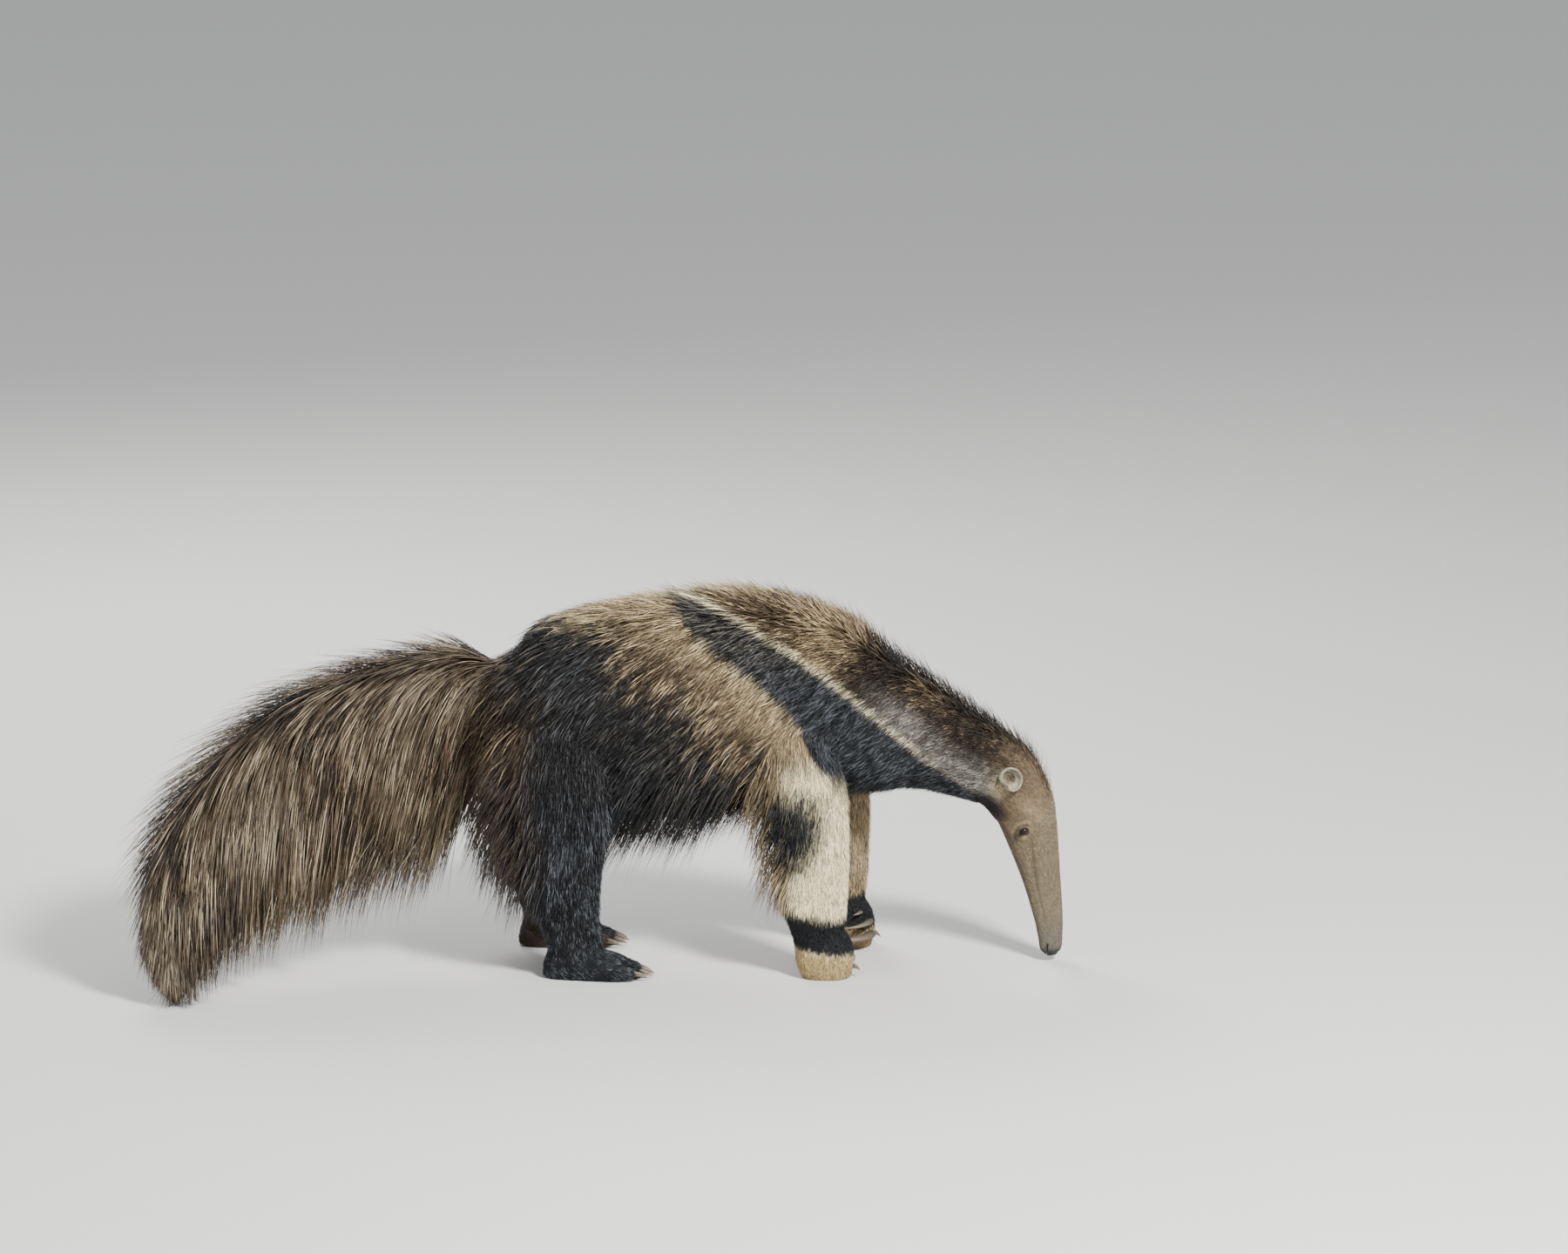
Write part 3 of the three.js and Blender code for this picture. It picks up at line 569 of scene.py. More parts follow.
def boolean(base, others, operation):
    """Joins the others to the base or cuts them out of it. The others are used up."""
    group = bpy.data.collections.new(operation.lower())
    bpy.context.scene.collection.children.link(group)
    for one in others:
        bpy.context.scene.collection.objects.unlink(one)
        group.objects.link(one)
    step = base.modifiers.new(operation.lower(), "BOOLEAN")
    step.operation = operation
    step.solver = "MANIFOLD"
    step.operand_type = "COLLECTION"
    step.collection = group
    base.data = plain_mesh(base)
    base.modifiers.clear()
    for one in others:
        bpy.data.objects.remove(one)
    bpy.data.collections.remove(group)


boolean(skin, joined, "UNION")
boolean(skin, cutters, "DIFFERENCE")
print("the skin has", len(skin.data.polygons), "faces")

# %% [markdown]
# ## Which form each piece of skin came from
#
# A k-d tree finds the nearest point of the first tubes for each point of the joined skin. Where
# two forms meet, the skin still has a hard crease. Moving each point there towards the middle of
# its neighbours, again and again, melts the crease into flesh.

# %% Find the forms again and soften the creases
REGIONS = list(dict.fromkeys(row[0] for row in sources))
CREASE = {"body": 26 * MM, "face": 2.5 * MM, "rounds": 14, "pull": 0.6}
CREASE["full"] = 0.3  # this share of the reach, next to the crease, is softened in full


def trace_back(points):
    """The region's number, t and angle of the nearest point of the first tubes."""
    total = sum(len(row[1]) for row in sources)
    tree = kdtree.KDTree(total)
    facts = np.zeros((total, 3))
    index = 0
    for region, places, t, angle in sources:
        number = np.full(len(places), REGIONS.index(region))
        facts[index : index + len(places)] = np.stack([number, t, angle], -1)
        for place in places:
            tree.insert(place, index)
            index += 1
    tree.balance()
    return facts[[tree.find(point)[1] for point in points]]


def points_of(mesh):
    flat = np.empty(len(mesh.vertices) * 3, np.float32)
    mesh.vertices.foreach_get("co", flat)
    return flat.reshape(-1, 3).astype(float)


def edges_of(mesh):
    flat = np.empty(len(mesh.edges) * 2, np.int32)
    mesh.edges.foreach_get("vertices", flat)
    return flat.reshape(-1, 2)


def neighbours_mean(values, edges, degree):
    """For each point the mean of the points that it shares an edge with."""
    total = np.zeros_like(values)
    np.add.at(total, edges[:, 0], values[edges[:, 1]])
    np.add.at(total, edges[:, 1], values[edges[:, 0]])
    return total / degree[:, None]


points = points_of(skin.data)
edges = edges_of(skin.data)
degree = np.maximum(np.bincount(edges.ravel(), minlength=len(points)), 1)
facts = trace_back(points)
region_of = facts[:, 0].astype(int)
of_face = np.array([name.startswith(("ear", "lids")) for name in REGIONS])

crossing = edges[region_of[edges[:, 0]] != region_of[edges[:, 1]]]
on_face = of_face[region_of[crossing]].any(axis=1)
softness = np.zeros(len(points))
for pairs, reach in ((crossing[~on_face], CREASE["body"]), (crossing[on_face], CREASE["face"])):
    seams = np.unique(pairs)
    near = kdtree.KDTree(len(seams))
    for number, seam in enumerate(seams):
        near.insert(points[seam], number)
    near.balance()
    away = np.array([near.find(point)[2] for point in points])
    softness = np.maximum(softness, np.clip(1 + CREASE["full"] - away / reach, 0, 1))
softness[points[:, 2] < 1 * MM] = 0  # the soles stay flat
for _ in range(CREASE["rounds"]):
    points += (neighbours_mean(points, edges, degree) - points) * softness[:, None] * CREASE["pull"]
print("softened", int((softness > 0).sum()), "of", len(points), "points")

# %% [markdown]
# Very short fur is drawn on the skin as fine streaks. They need a place along and across each
# form, so that they run the way the hair lies.

# %% Places along and across the forms
forms = {"trunk": trunk, "tail": tail}
for name, parts in legs.items():
    forms.update({f"foreleg_{name}": parts["fore"], f"hindleg_{name}": parts["hind"]})
    forms[f"hindfoot_{name}"] = parts["foot"]
fur = points.copy()
for name, form in forms.items():
    mine = region_of == REGIONS.index(name)
    here = facts[mine, 1]
    _, wide, tall = form.frame(here)
    out = points[mine] - spline(form.middles, here)
    reach = np.linalg.norm(np.diff(form.middles, axis=0), axis=1).sum()
    fur[mine] = np.stack([here * reach, (out * wide).sum(-1), (out * tall).sum(-1)], -1)
print("forms with streaks along them:", len(forms))

# %% [markdown]
# The skin goes to its place in the frame. It is also laid flat, like a pelt, so that its colours
# can be baked into a picture. Smart UV Project needs no seams drawn by hand: it cuts the skin
# where it turns away. The coat's pieces are laid flat later by the same function.

# %% Put the skin in its place and unwrap it
skin.data.vertices.foreach_set("co", (points + origin).astype(np.float32).ravel())
skin.data.shade_smooth()
skin.data.update()
bpy.ops.object.select_all(action="DESELECT")  # another selected piece would share the map
bpy.context.view_layer.objects.active = skin
skin.select_set(True)


def unwrap(map_name, chosen):
    """Lays the chosen faces of the skin flat, so that they fill the map. chosen has 1 or 0 for each."""
    layers = skin.data.uv_layers
    layers.active = layers.get(map_name) or layers.new(name=map_name)
    skin.data.polygons.foreach_set("select", chosen)
    bpy.ops.object.mode_set(mode="EDIT")
    bpy.ops.uv.smart_project(angle_limit=math.radians(66), island_margin=0.002)
    bpy.ops.object.mode_set(mode="OBJECT")


bpy.context.scene.tool_settings.mesh_select_mode = (False, False, True)
unwrap("SkinMap", np.ones(len(skin.data.polygons), bool))
print("unwrapped", len(skin.data.uv_layers["SkinMap"].data), "corners")

# %% [markdown]
# ## How the coat lies
#
# Hair has a direction at each place, its lie: back along the body, down the flanks and legs, and
# off the tail on both sides. It also has a length, a stand (how far it rises from the skin) and a
# fall (how much it hangs). All are worked out here for each point of the skin, lengths in
# millimetres, and are smoothed a little so that they change gently from one form to the next.
#
# A place along the body is its section: 0 at the first row of TRUNK, 1 at the second, and so on
# to the nose. So ramp(section, 3, 6) rises from 0 at the loin to 1 at the shoulders, and
# ramp(-section, -6, -3) falls there.

# %% Numbers for the hair


def ramp(value, low, high):
    """0 below low, 1 above high and a smooth rise between."""
    x = np.clip((value - low) / (high - low), 0, 1)
    return x * x * (3 - 2 * x)


def blend(first, second, share):
    """From first to second, by a share for each point."""
    return first + (second - first) * share


HAIR_FOR_DEPTH = 2.8  # a hair is this many times as long as the coat is deep
FRONT_HAIR_FOR_DEPTH = 2.0  # the same, ahead of the shoulders
# fringe, elbow (the fringe near the elbows), haunch and mane come on top of the plain coat
HAIR = {"plain": 8, "ear": 4.5, "least": 3, "fringe": 118, "elbow": 73, "haunch": 40, "mane": 22}
LEG_HAIR = {"fore": {"rear": 84, "stand": 0.3}, "hind": {"rear": 108, "stand": 0.36}}
TAIL_HAIR = [165, 168, 162, 162, 160, 158, 142, 112, 74]  # for each row of TAIL
AHEAD = np.array([1, 0, 0])
DOWN = -UP

normals = np.empty(len(points) * 3, np.float32)
skin.data.vertices.foreach_get("normal", normals)
normals = normals.reshape(-1, 3).astype(float)
t, angle = facts[:, 1], facts[:, 2]
lie = np.tile(DOWN, (len(points), 1))
length = np.full(len(points), float(HAIR["plain"]))
stand = np.full(len(points), 0.3)
fall = np.full(len(points), 0.3)
cover = np.full(len(points), 1.0)
upward = np.sin(angle)
section = t * trunk.last
print("points that grow hair:", len(points))

# %% [markdown]
# On the body a fringe hangs from the belly, long hair covers the haunch, and a mane stands on the
# back. Each has its share, from 0 to 1, which fades at its ends, so that one kind of hair passes
# into the next.

# %% The hair of the body
on_trunk = region_of == REGIONS.index("trunk")
back, _, _ = trunk.frame(t)
flank = np.sqrt(1 - upward**2)
drop = blend(0.75, 0.25, ramp(section, 7, 9.5)) * flank + 0.5 * ramp(-section, -2.6, -1.2)
lie = np.where(on_trunk[:, None], -back + drop[:, None] * DOWN, lie)
depth = spline(trunk.coat, t)[:, 0] / MM
fringe = ramp(-upward, 0.2, 0.75) * ramp(section, 1.6, 3) * ramp(-section, -6.7, -5.8)
haunch = ramp(-section, -3.4, -2)
mane = ramp(upward, 0.8, 0.97) * ramp(section, 3, 6) * ramp(-section, -11.7, -10.5)
body_hair = blend(HAIR_FOR_DEPTH, FRONT_HAIR_FOR_DEPTH, ramp(section, 4.6, 6)) * depth
body_hair += blend(HAIR["fringe"], HAIR["elbow"], ramp(section, 4.9, 6)) * fringe
body_hair += HAIR["haunch"] * haunch * flank + (HAIR["mane"] + 10 * ramp(section, 6.5, 8)) * mane
length = np.where(on_trunk, body_hair, length)
stand = np.where(on_trunk, 0.3 + 0.5 * mane + 0.3 * fringe - 0.1 * ramp(section, 9.5, 10.5), stand)
fall = np.where(on_trunk, 0.25 + 2.4 * fringe + 0.5 * haunch - 0.25 * mane, fall)
print("hair of the body is up to", round(float(length[on_trunk].max())), "mm long")

# %% [markdown]
# On the tail a crest stands on the top, and a curtain hangs from both sides. The curtain is
# longest underneath, and the hair gets shorter at the rear edge.

# %% The hair of the tail
on_tail = region_of == REGIONS.index("tail")
out_along, tail_wide, _ = tail.frame(t)
crest = ramp(upward, 0.65, 0.98)
aside = np.sign(np.cos(angle))[:, None] * tail_wide * (0.35 * crest)[:, None]
tail_lie = out_along * (0.45 + 0.5 * crest)[:, None] + (1 - 0.7 * crest)[:, None] * DOWN + aside
lie = np.where(on_tail[:, None], tail_lie, lie)
tail_share = blend(1, 0.86, ramp(upward, -0.2, 0.9)) + 0.16 * ramp(t, 0.4, 0.7) * crest
tail_share += (0.2 + 0.25 * ramp(-t, -0.7, -0.4)) * ramp(-upward, 0.1, 0.7)
tail_share *= 1 - 0.35 * ramp(-t, -0.35, -0.1) * crest
rear_edge = ramp(t, 0.62, 0.8) * ramp(upward, 0.2, 0.9)
tail_share *= 1 - 0.22 * rear_edge
tail_length = spline(np.array(TAIL_HAIR)[:, None], t)[:, 0] * tail_share
length = np.where(on_tail, tail_length, length)
stand = np.where(on_tail, 0.2 + 0.5 * crest * (1 - 0.6 * rear_edge), stand)
fall = np.where(on_tail, 0.8 - 0.65 * crest, fall)
print("hair of the tail is up to", round(float(length[on_tail].max())), "mm long")

# %% [markdown]
# The legs have longer hair behind, and the hind feet short hair that points ahead. The ears have
# short fur on the cup and a tuft behind its foot.

# %% The hair of legs and ears
rear_of_leg = np.zeros(len(points))
for name, parts in legs.items():
    for kind, hair in LEG_HAIR.items():
        on_leg = region_of == REGIONS.index(f"{kind}leg_{name}")
        form = parts[kind]
        down_leg, _, _ = form.frame(t)
        rear = ramp(-upward, 0.35, 0.9) * ramp(points[:, 2], 0.1, 0.2)
        depth = spline(form.coat, t)[:, 0] / MM
        leg_lie = down_leg + DOWN * 0.4 - AHEAD * (0.25 + 0.9 * rear)[:, None]
        lie = np.where(on_leg[:, None], leg_lie, lie)
        length = np.where(on_leg, HAIR_FOR_DEPTH * depth + hair["rear"] * rear, length)
        stand = np.where(on_leg, hair["stand"] + 0.5 * rear, stand)
        fall = np.where(on_leg, 0.3 + 0.6 * rear, fall)
        rear_of_leg = np.where(on_leg, rear, rear_of_leg)
    on_foot = region_of == REGIONS.index(f"hindfoot_{name}")
    lie = np.where(on_foot[:, None], np.array([1, 0, -0.35]), lie)
    length = np.where(on_foot, HAIR["plain"], length)

ear_foot = on_head(EAR, 1, 0) + np.array([-13, 0, -13]) * MM
by_ear = bump_at(np.linalg.norm(points * [1, 0, 1] + np.abs(points) * [0, 1, 0] - ear_foot, axis=1), 11 * MM)
by_ear *= on_trunk
length += 12 * by_ear
stand += 0.7 * by_ear
lie = blend(lie, np.array([0.8, 0, 0.6]), by_ear[:, None])
on_ear = np.isin(region_of, [REGIONS.index(f"ear_{name}") for name in SIDES])
lie = np.where(on_ear[:, None], -back + 0.3 * UP, lie)
length = np.where(on_ear, HAIR["ear"], length)
length = np.maximum(length, HAIR["least"])

# a little smoothing, of which the head gets none
for _ in range(6):
    share = (0.5 * ramp(-section, -8.6, -7.6) * on_trunk + 0.5 * ~on_trunk * ~on_ear)[:, None]
    facts_now = np.column_stack([lie, length, stand, fall])
    facts_now += (neighbours_mean(facts_now, edges, degree) - facts_now) * share
    lie, length, stand, fall = facts_now[:, :3], facts_now[:, 3], facts_now[:, 4], facts_now[:, 5]
lie = unit(lie - normals * (lie * normals).sum(-1, keepdims=True))
short = ramp(-length, -14, -5)  # 1 where hair is under 5 mm, 0 where it is over 14 mm
print("hair is", round(float(length.min()), 1), "to", round(float(length.max()), 1), "mm long")

# %% [markdown]
# The number of tufts follows from their size: where hairs are short and thin, it takes more of
# them to cover the skin. cover says how many layers of hair lie over each other. It is 0 on the
# lids, the edges of the mouth, the nose and the soles, which are bare.

# %% How wide and how close the tufts are
girth = np.minimum(0.5 + 0.02 * length, 1.9)  # millimetres, at the root
nose = ramp(section, 15.7, 16.2) * on_trunk
cover = blend(2.4, 1.0, ramp(section, 9.2, 10.6)) * (1 + 1.2 * fringe)
cover = np.where(on_trunk, cover, 2.0 + 2.0 * rear_of_leg) * (1 - nose)
cover = np.where(on_tail, 10.0, cover)
cover = np.where(points[:, 2] < 0.06, 1.0, cover)
cover = np.where(on_ear, 0.5, cover)
bare = np.isin(region_of, [REGIONS.index(f"lids_{name}") for name in SIDES]) | (points[:, 2] < 1.5 * MM)
slit = (np.abs(points[:, 0] - MOUTH["x"]) < 3 * MM) & (points[:, 2] < MOUTH["top"] + 2 * MM) & on_trunk
cover[bare | slit] = 0
crowd = cover / (0.6 * length * girth * MM * MM)  # tufts on a square metre
print("tufts are", round(float(girth.min()), 2), "to", round(float(girth.max()), 2), "mm wide")


def write_attribute(mesh, name, values, kind="FLOAT", domain="POINT"):
    """Puts one value for each point or face on a mesh, under a name."""
    made = mesh.attributes.get(name) or mesh.attributes.new(name, kind, domain)
    key = {"FLOAT_VECTOR": "vector", "FLOAT_COLOR": "color"}.get(kind, "value")
    number = np.int32 if kind == "INT" else np.float32
    made.data.foreach_set(key, np.ascontiguousarray(values, dtype=number).ravel())


numbers = {"length": length, "stand": stand, "fall": fall, "girth": girth, "crowd": crowd, "short": short}
for name, values in numbers.items():
    write_attribute(skin.data, name, values)
write_attribute(skin.data, "lie", lie, "FLOAT_VECTOR")
write_attribute(skin.data, "fur", fur, "FLOAT_VECTOR")
write_attribute(skin.data, "form", np.stack([section, upward, t], -1), "FLOAT_VECTOR")

# %% [markdown]
# ## The markings
#
# One function gives the colour at any place, and both the skin and the tufts ask it. The pattern
# was measured from the side, so heights are taken as a viewer a little above the animal sees
# them. The black stripe is the area between two lines that run from the shoulder to the throat.
# An image could carry the pattern too, but it would blur on the long hair.

# %% Paints and mixing


def paint(text):
    """A colour as light, from its usual red, green and blue numbers in hex."""
    value = np.array([int(text[i : i + 2], 16) for i in (0, 2, 4)]) / 255
    return np.where(value <= 0.04045, value / 12.92, ((value + 0.055) / 1.055) ** 2.4)


BLACK, SOOT, SLATE = paint("16181c"), paint("262423"), paint("575b60")
UMBER, BROWN, FAWN = paint("2a2119"), paint("51412f"), paint("897657")
SAND, CREAM, SILVER = paint("bba67f"), paint("fff2c9"), paint("a09f97")
ASH, SNOUT, PALE_EAR = paint("645a49"), paint("786d57"), paint("a8a18b")
DUN, PAW, TAUPE = paint("6a5843"), paint("b8a070"), paint("5c5243")
SIDE_VIEW = math.tan(math.radians(12))


def tint(first, second, share):
    """From one colour to another, by a share for each point."""
    return first + (second - first) * share[:, None]


# the two edges of the black stripe, x and height as seen from the side, in millimetres
STRIPE_TOP = [(90, 622), (155, 602), (236, 549), (321, 497), (402, 432), (461, 382)]
STRIPE_TOP += [(519, 334), (559, 308), (640, 262)]
STRIPE_LOW = [(90, 600), (141, 547), (177, 510), (222, 478), (262, 446), (294, 414)]
STRIPE_LOW += [(321, 377), (348, 322), (375, 294)]
STRIPE_FOOT = 281  # ahead of its last point the lower edge drops off from this height


def line_at(x, line):
    """The height of a line of points at x, in millimetres."""
    xs, zs = zip(*line)
    return np.interp(x, xs, zs)


def grizzled(dark, middle, pale, noise, chance):
    """Hairs of three colours, mixed: patches of noise lean to the dark or the middle one."""
    hair = tint(dark, middle, ramp(chance + 0.5 * noise, 0.1, 0.6))
    return tint(hair, pale, ramp(chance + 0.15 * noise, 0.68, 1.0) * 0.85)


stripe_high = line_at(300, STRIPE_TOP) - line_at(300, STRIPE_LOW)
print("the stripe is", round(float(stripe_high)), "mm high at the shoulder")

# %% [markdown]
# Each part of the animal has a function of its own for its colours. It lays one colour over
# another, as a painter does, and a share from 0 to 1 says where each one shows. On the body the
# stripe lies over neck and flank.

# %% The colours of body and head


def trunk_colour(x, z, section, upward, noise, chance):
    """Body and head: x and z are in millimetres, z as seen from the side."""
    top = line_at(x, STRIPE_TOP)
    low = line_at(x, STRIPE_LOW)
    last_x, _ = STRIPE_LOW[-1]
    low = np.where(x > last_x, np.minimum(low, STRIPE_FOOT) - 3 * (x - last_x), low)
    behind = (low - z) * 0.72 + 25 * noise + 40 * (chance - 0.5)  # how far the flank is from the stripe
    near = tint(FAWN, tint(SAND, CREAM, ramp(chance, 0.7, 1.0) * 0.3), ramp(chance, 0.15, 0.75))
    flank = grizzled(UMBER, DUN, SAND, noise, chance)
    flank = tint(near, flank, ramp(behind, 0, 90))
    # the belly and the lower flank: dark hair, made darker still as painted shade under the body
    dark_belly_and_shade = tint(BLACK, SOOT, 0.5 + 0.5 * noise)
    dark_belly_and_shade = tint(dark_belly_and_shade, tint(ASH, SLATE, 0.5 + 0.5 * noise), ramp(chance, 0.6, 1.0) * 0.5)
    rump = grizzled(UMBER, BROWN, FAWN, noise, chance)
    dark_belly_and_shade = tint(dark_belly_and_shade, rump, ramp(-x + 25 * noise, 105, 180) * 0.85)
    # low and towards the rear the flank turns to that dark hair and painted shade
    flank = tint(flank, dark_belly_and_shade, ramp(-x - z + 35 * noise - 90 * (chance - 0.5), -575, -475))
    above = z - top  # how far the neck is from the stripe
    neck = grizzled(UMBER, BROWN, FAWN, noise - 0.8, chance)
    neck = tint(neck, grizzled(BROWN, FAWN, SAND, noise, chance), ramp(-x + 25 * noise, -450, -330))
    band = ramp(-above + 14 * noise, -85, -25) * ramp(x, 400, 480)
    neck = tint(neck, tint(ASH, SILVER, chance), band * 0.85)
    cream_line = bump_at(above - 4, 5.5) * ramp(-x, -560, -470) * ramp(chance, -0.3, 0.5)
    neck = tint(neck, CREAM, cream_line * 0.85)
    neck = tint(neck, SOOT, ramp(upward, 0.9, 0.98) * ramp(section, 6.2, 7.4) * 0.9)
    inside = ramp(-above, -3, 5) * ramp(z - low, -7, 5)  # 1 in the stripe
    colour = tint(flank, neck, ramp(above, -4, 2) * ramp(x, 60, 110))
    # the slate hairs among the black of the stripe are a painted sheen
    stripe = tint(BLACK, SLATE, ramp(chance, 0.25, 1.0) * 0.85)
    stripe = tint(stripe, ASH, ramp(z, 430, 560) * ramp(chance, 0.3, 0.8) * 0.6)
    colour = tint(colour, stripe, inside * ramp(x, 85, 125))
    shoulder = ramp(-z + 16 * noise + 30 * (chance - 0.5), -350, -275)
    shoulder = shoulder * ramp(x + 14 * noise, 262, 312) * ramp(-x, -412, -392)
    return tint(colour, CREAM, shoulder * (1 - inside))


def seen_at(place):
    """Where a place on the head is seen from the side, in millimetres."""
    x, y, z = on_head(place, 1, 0) / MM
    return x, z - y * SIDE_VIEW


def head_colour(x, z, section, upward, noise, chance):
    """The short fur of the head, paler at the foot of the ear and greyer along the snout. Painted shade
    and painted highlight follow the lids as dark and pale rings, a painted highlight lies on the
    lower lid and a painted shadow line runs down from the front of the eye. The nose and the lips
    are dark."""
    crown = grizzled(UMBER, DUN, FAWN, noise + 0.3, chance)
    face = tint(crown, grizzled(TAUPE, SNOUT, SAND, noise, chance), ramp(section, 10.6, 11.8) * 0.85)
    face = tint(face, tint(TAUPE, SNOUT, ramp(chance + 0.5 * noise, 0, 0.8)), ramp(section, 12.4, 14) * 0.85)
    cheek = ramp(-upward, -0.4, 0.3) * ramp(-section, -10.8, -9.6)
    face = tint(face, tint(ASH, SILVER, chance), cheek * 0.7)
    streak = bump_at(upward - 0.1 - 0.35 * (section - 11), 0.26) * ramp(section, 10.2, 10.8)
    face = tint(face, SAND, streak * ramp(-section, -12.1, -11.2) * ramp(chance + noise, 0, 1) * 0.45)
    ear_x, ear_z = seen_at(EAR)
    tufts = bump_at(np.hypot(x - ear_x + 12, z - ear_z + 14), 14)
    face = tint(face, tint(SAND, CREAM, ramp(chance, 0.3, 0.9) * 0.6), tufts * 0.85)
    eye_x, eye_z = seen_at(EYE)
    aside, above = x - eye_x, z - eye_z
    along = aside * math.sin(LID["tilt"]) + above * math.cos(LID["tilt"])
    across = aside * math.cos(LID["tilt"]) - above * math.sin(LID["tilt"])
    face = tint(face, DUN, bump_at(np.hypot(aside + 12, above - 10), 34) * 0.6)
    face = tint(face, SLATE, ramp(section, 13.8, 15) * ramp(noise + chance, 0, 1.2) * 0.35)
    face = tint(face, SAND, bump_at(np.hypot(aside - 9, above - 9), 7) * 0.35)
    face = tint(face, SOOT, bump_at(np.hypot(aside + 14, above + 9), 6) * 0.8)
    from_eye = np.hypot(along / 1.3, across)
    # painted shade in the groove round the lids, and a painted highlight on the fold beyond it
    face = tint(face, UMBER, bump_at(from_eye - 11.5, 1.8) * ramp(-across, -3, 5) * 0.6)
    face = tint(face, SAND, bump_at(from_eye - 15.5, 2.2) * ramp(-across, -3, 5) * 0.35)
    face = tint(face, BLACK, ramp(-from_eye, -9, -6.5) * 0.92)
    # a painted highlight on the lower lid
    face = tint(face, SAND, bump_at(np.hypot(aside - 1, above + 8.5), 4.2) * 0.8)
    # a painted shadow line that runs from the front of the eye down the snout
    fold_shadow = bump_at(aside - 12 + 0.12 * above, 2.6) * ramp(-above, -4, 20) * ramp(above, -110, -50)
    face = tint(face, UMBER, fold_shadow * 0.45)
    throat = ramp(-upward + 0.1 * noise, 0.35, 0.65) * ramp(-section, -11.6, -10.6)
    face = tint(face, BLACK, throat * 0.9)
    face = tint(face, SOOT, ramp(upward, 0.88, 0.98) * ramp(-section, -11.2, -10.2) * 0.85)
    lips = bump_at(x - MOUTH["x"] / MM, 3) * ramp(-z, -MOUTH["top"] / MM - 2, -MOUTH["top"] / MM + 6)
    face = tint(face, SOOT, lips * 0.8)
    return tint(face, tint(SOOT, SLATE, 0.3 + 0.2 * noise), ramp(section, 15.6, 16.3) * 0.9)


print("the eye is seen at", np.round(seen_at(EYE)), "mm")

# %% [markdown]
# The forelegs are pale with two black marks, and the hind legs are black. On a leg the marks
# follow the height above the floor, and move with the leg's step.

# %% The colours of tail and legs


def tail_colour(x, z, section, upward, noise, chance):
    """Long grey-brown hair with pale streaks, darker along the top and the fringe."""
    hair = grizzled(UMBER, DUN, SAND * 0.7 + SILVER * 0.3, 0.6 * noise, chance)
    hair = tint(hair, ASH, ramp(noise, -0.2, 0.8) * 0.35)
    hair = tint(hair, UMBER, ramp(section, 12, 15) * 0.45)
    hair = tint(hair, SOOT, ramp(upward, 0.8, 1.0) * 0.4)
    return tint(hair, SOOT, ramp(-upward, 0.5, 1.0) * 0.4)


def foreleg_colour(x, z, section, upward, noise, chance, height, outer, shift):
    """Cream in front and tan behind, with a black patch, a black wrist and a tan paw."""
    x = x - shift
    patch = ((x - 306) / 60) ** 2 + ((z - 212) / 72) ** 2
    leg = tint(CREAM, SAND, ramp(noise + chance, 0.5, 1.5) * 0.5)
    # a few darker fawn hairs: painted shade between the hairs
    leg = tint(leg, FAWN, ramp(-chance, -0.3, 0) * 0.7)
    tan = tint(FAWN, SAND, ramp(chance, 0.2, 0.9))
    leg = tint(leg, tan, ramp(-x + 14 * noise + 30 * (chance - 0.5), -325, -285))
    leg = tint(leg, BROWN, ramp(-x + 12 * noise + 40 * (chance - 0.5), -290, -240) * 0.7)
    # the inner side is tinted fawn and sand as painted shade
    leg = tint(leg, tint(FAWN, SAND, chance), ramp(-outer, -0.3, 0.3) * 0.9)
    patch = ramp(-patch + 0.5 * noise + 0.9 * (chance - 0.5), -1.6, -0.6)
    leg = tint(leg, BLACK, patch * ramp(outer, 0.1, 0.5))
    band = height + 0.15 * (x - 350)
    band += 5 * noise + 10 * (chance - 0.5)
    leg = tint(leg, BLACK, ramp(band, 36, 44) * ramp(-band, -104, -90))
    return tint(leg, tint(PAW, FAWN, ramp(noise + chance, 0.3, 1.2) * 0.7), ramp(-band, -42, -34))


def hindleg_colour(x, z, section, upward, noise, chance, height, outer, shift):
    """Black, with a cold shine painted on as pale slate hairs, and browner behind."""
    # painted sheen: pale slate hairs among the black
    leg = tint(BLACK, SLATE, ramp(chance + 0.15 * noise, 0.55, 1.0) * 0.9)
    rear = ramp(-x + shift + 20 * noise, 80, 140)
    leg = tint(leg, BROWN, rear * 0.5 * ramp(height, 60, 140))
    leg = tint(leg, BROWN, ramp(-outer, 0.0, 0.6) * 0.5)
    return tint(leg, SOOT, ramp(height, 230, 330) * 0.5)


print("the left legs' marks move by", STEP_AHEAD["left"], "and", STEP_BEHIND["left"], "mm")

# %% [markdown]
# A fur pattern is never even. Slow noise, made here from a few sine waves in turned directions,
# makes patches a few centimetres wide, and each tuft has a chance of its own to be paler.

# %% The colour at any place
WAVES = np.random.default_rng(5).normal(size=(14, 3))
SHIFTS = np.random.default_rng(6).uniform(0, 2 * np.pi, 14)
PARTS = ["head", "neck", "torso", "foreleg", "hindleg", "ear", "tail_base", "tail_middle", "tail_end"]


def patches(places, size=0.05):
    """Smooth noise from about -1 to 1, in patches of so many metres."""
    return np.sin(places @ WAVES.T / size + SHIFTS).sum(-1) / 3.2


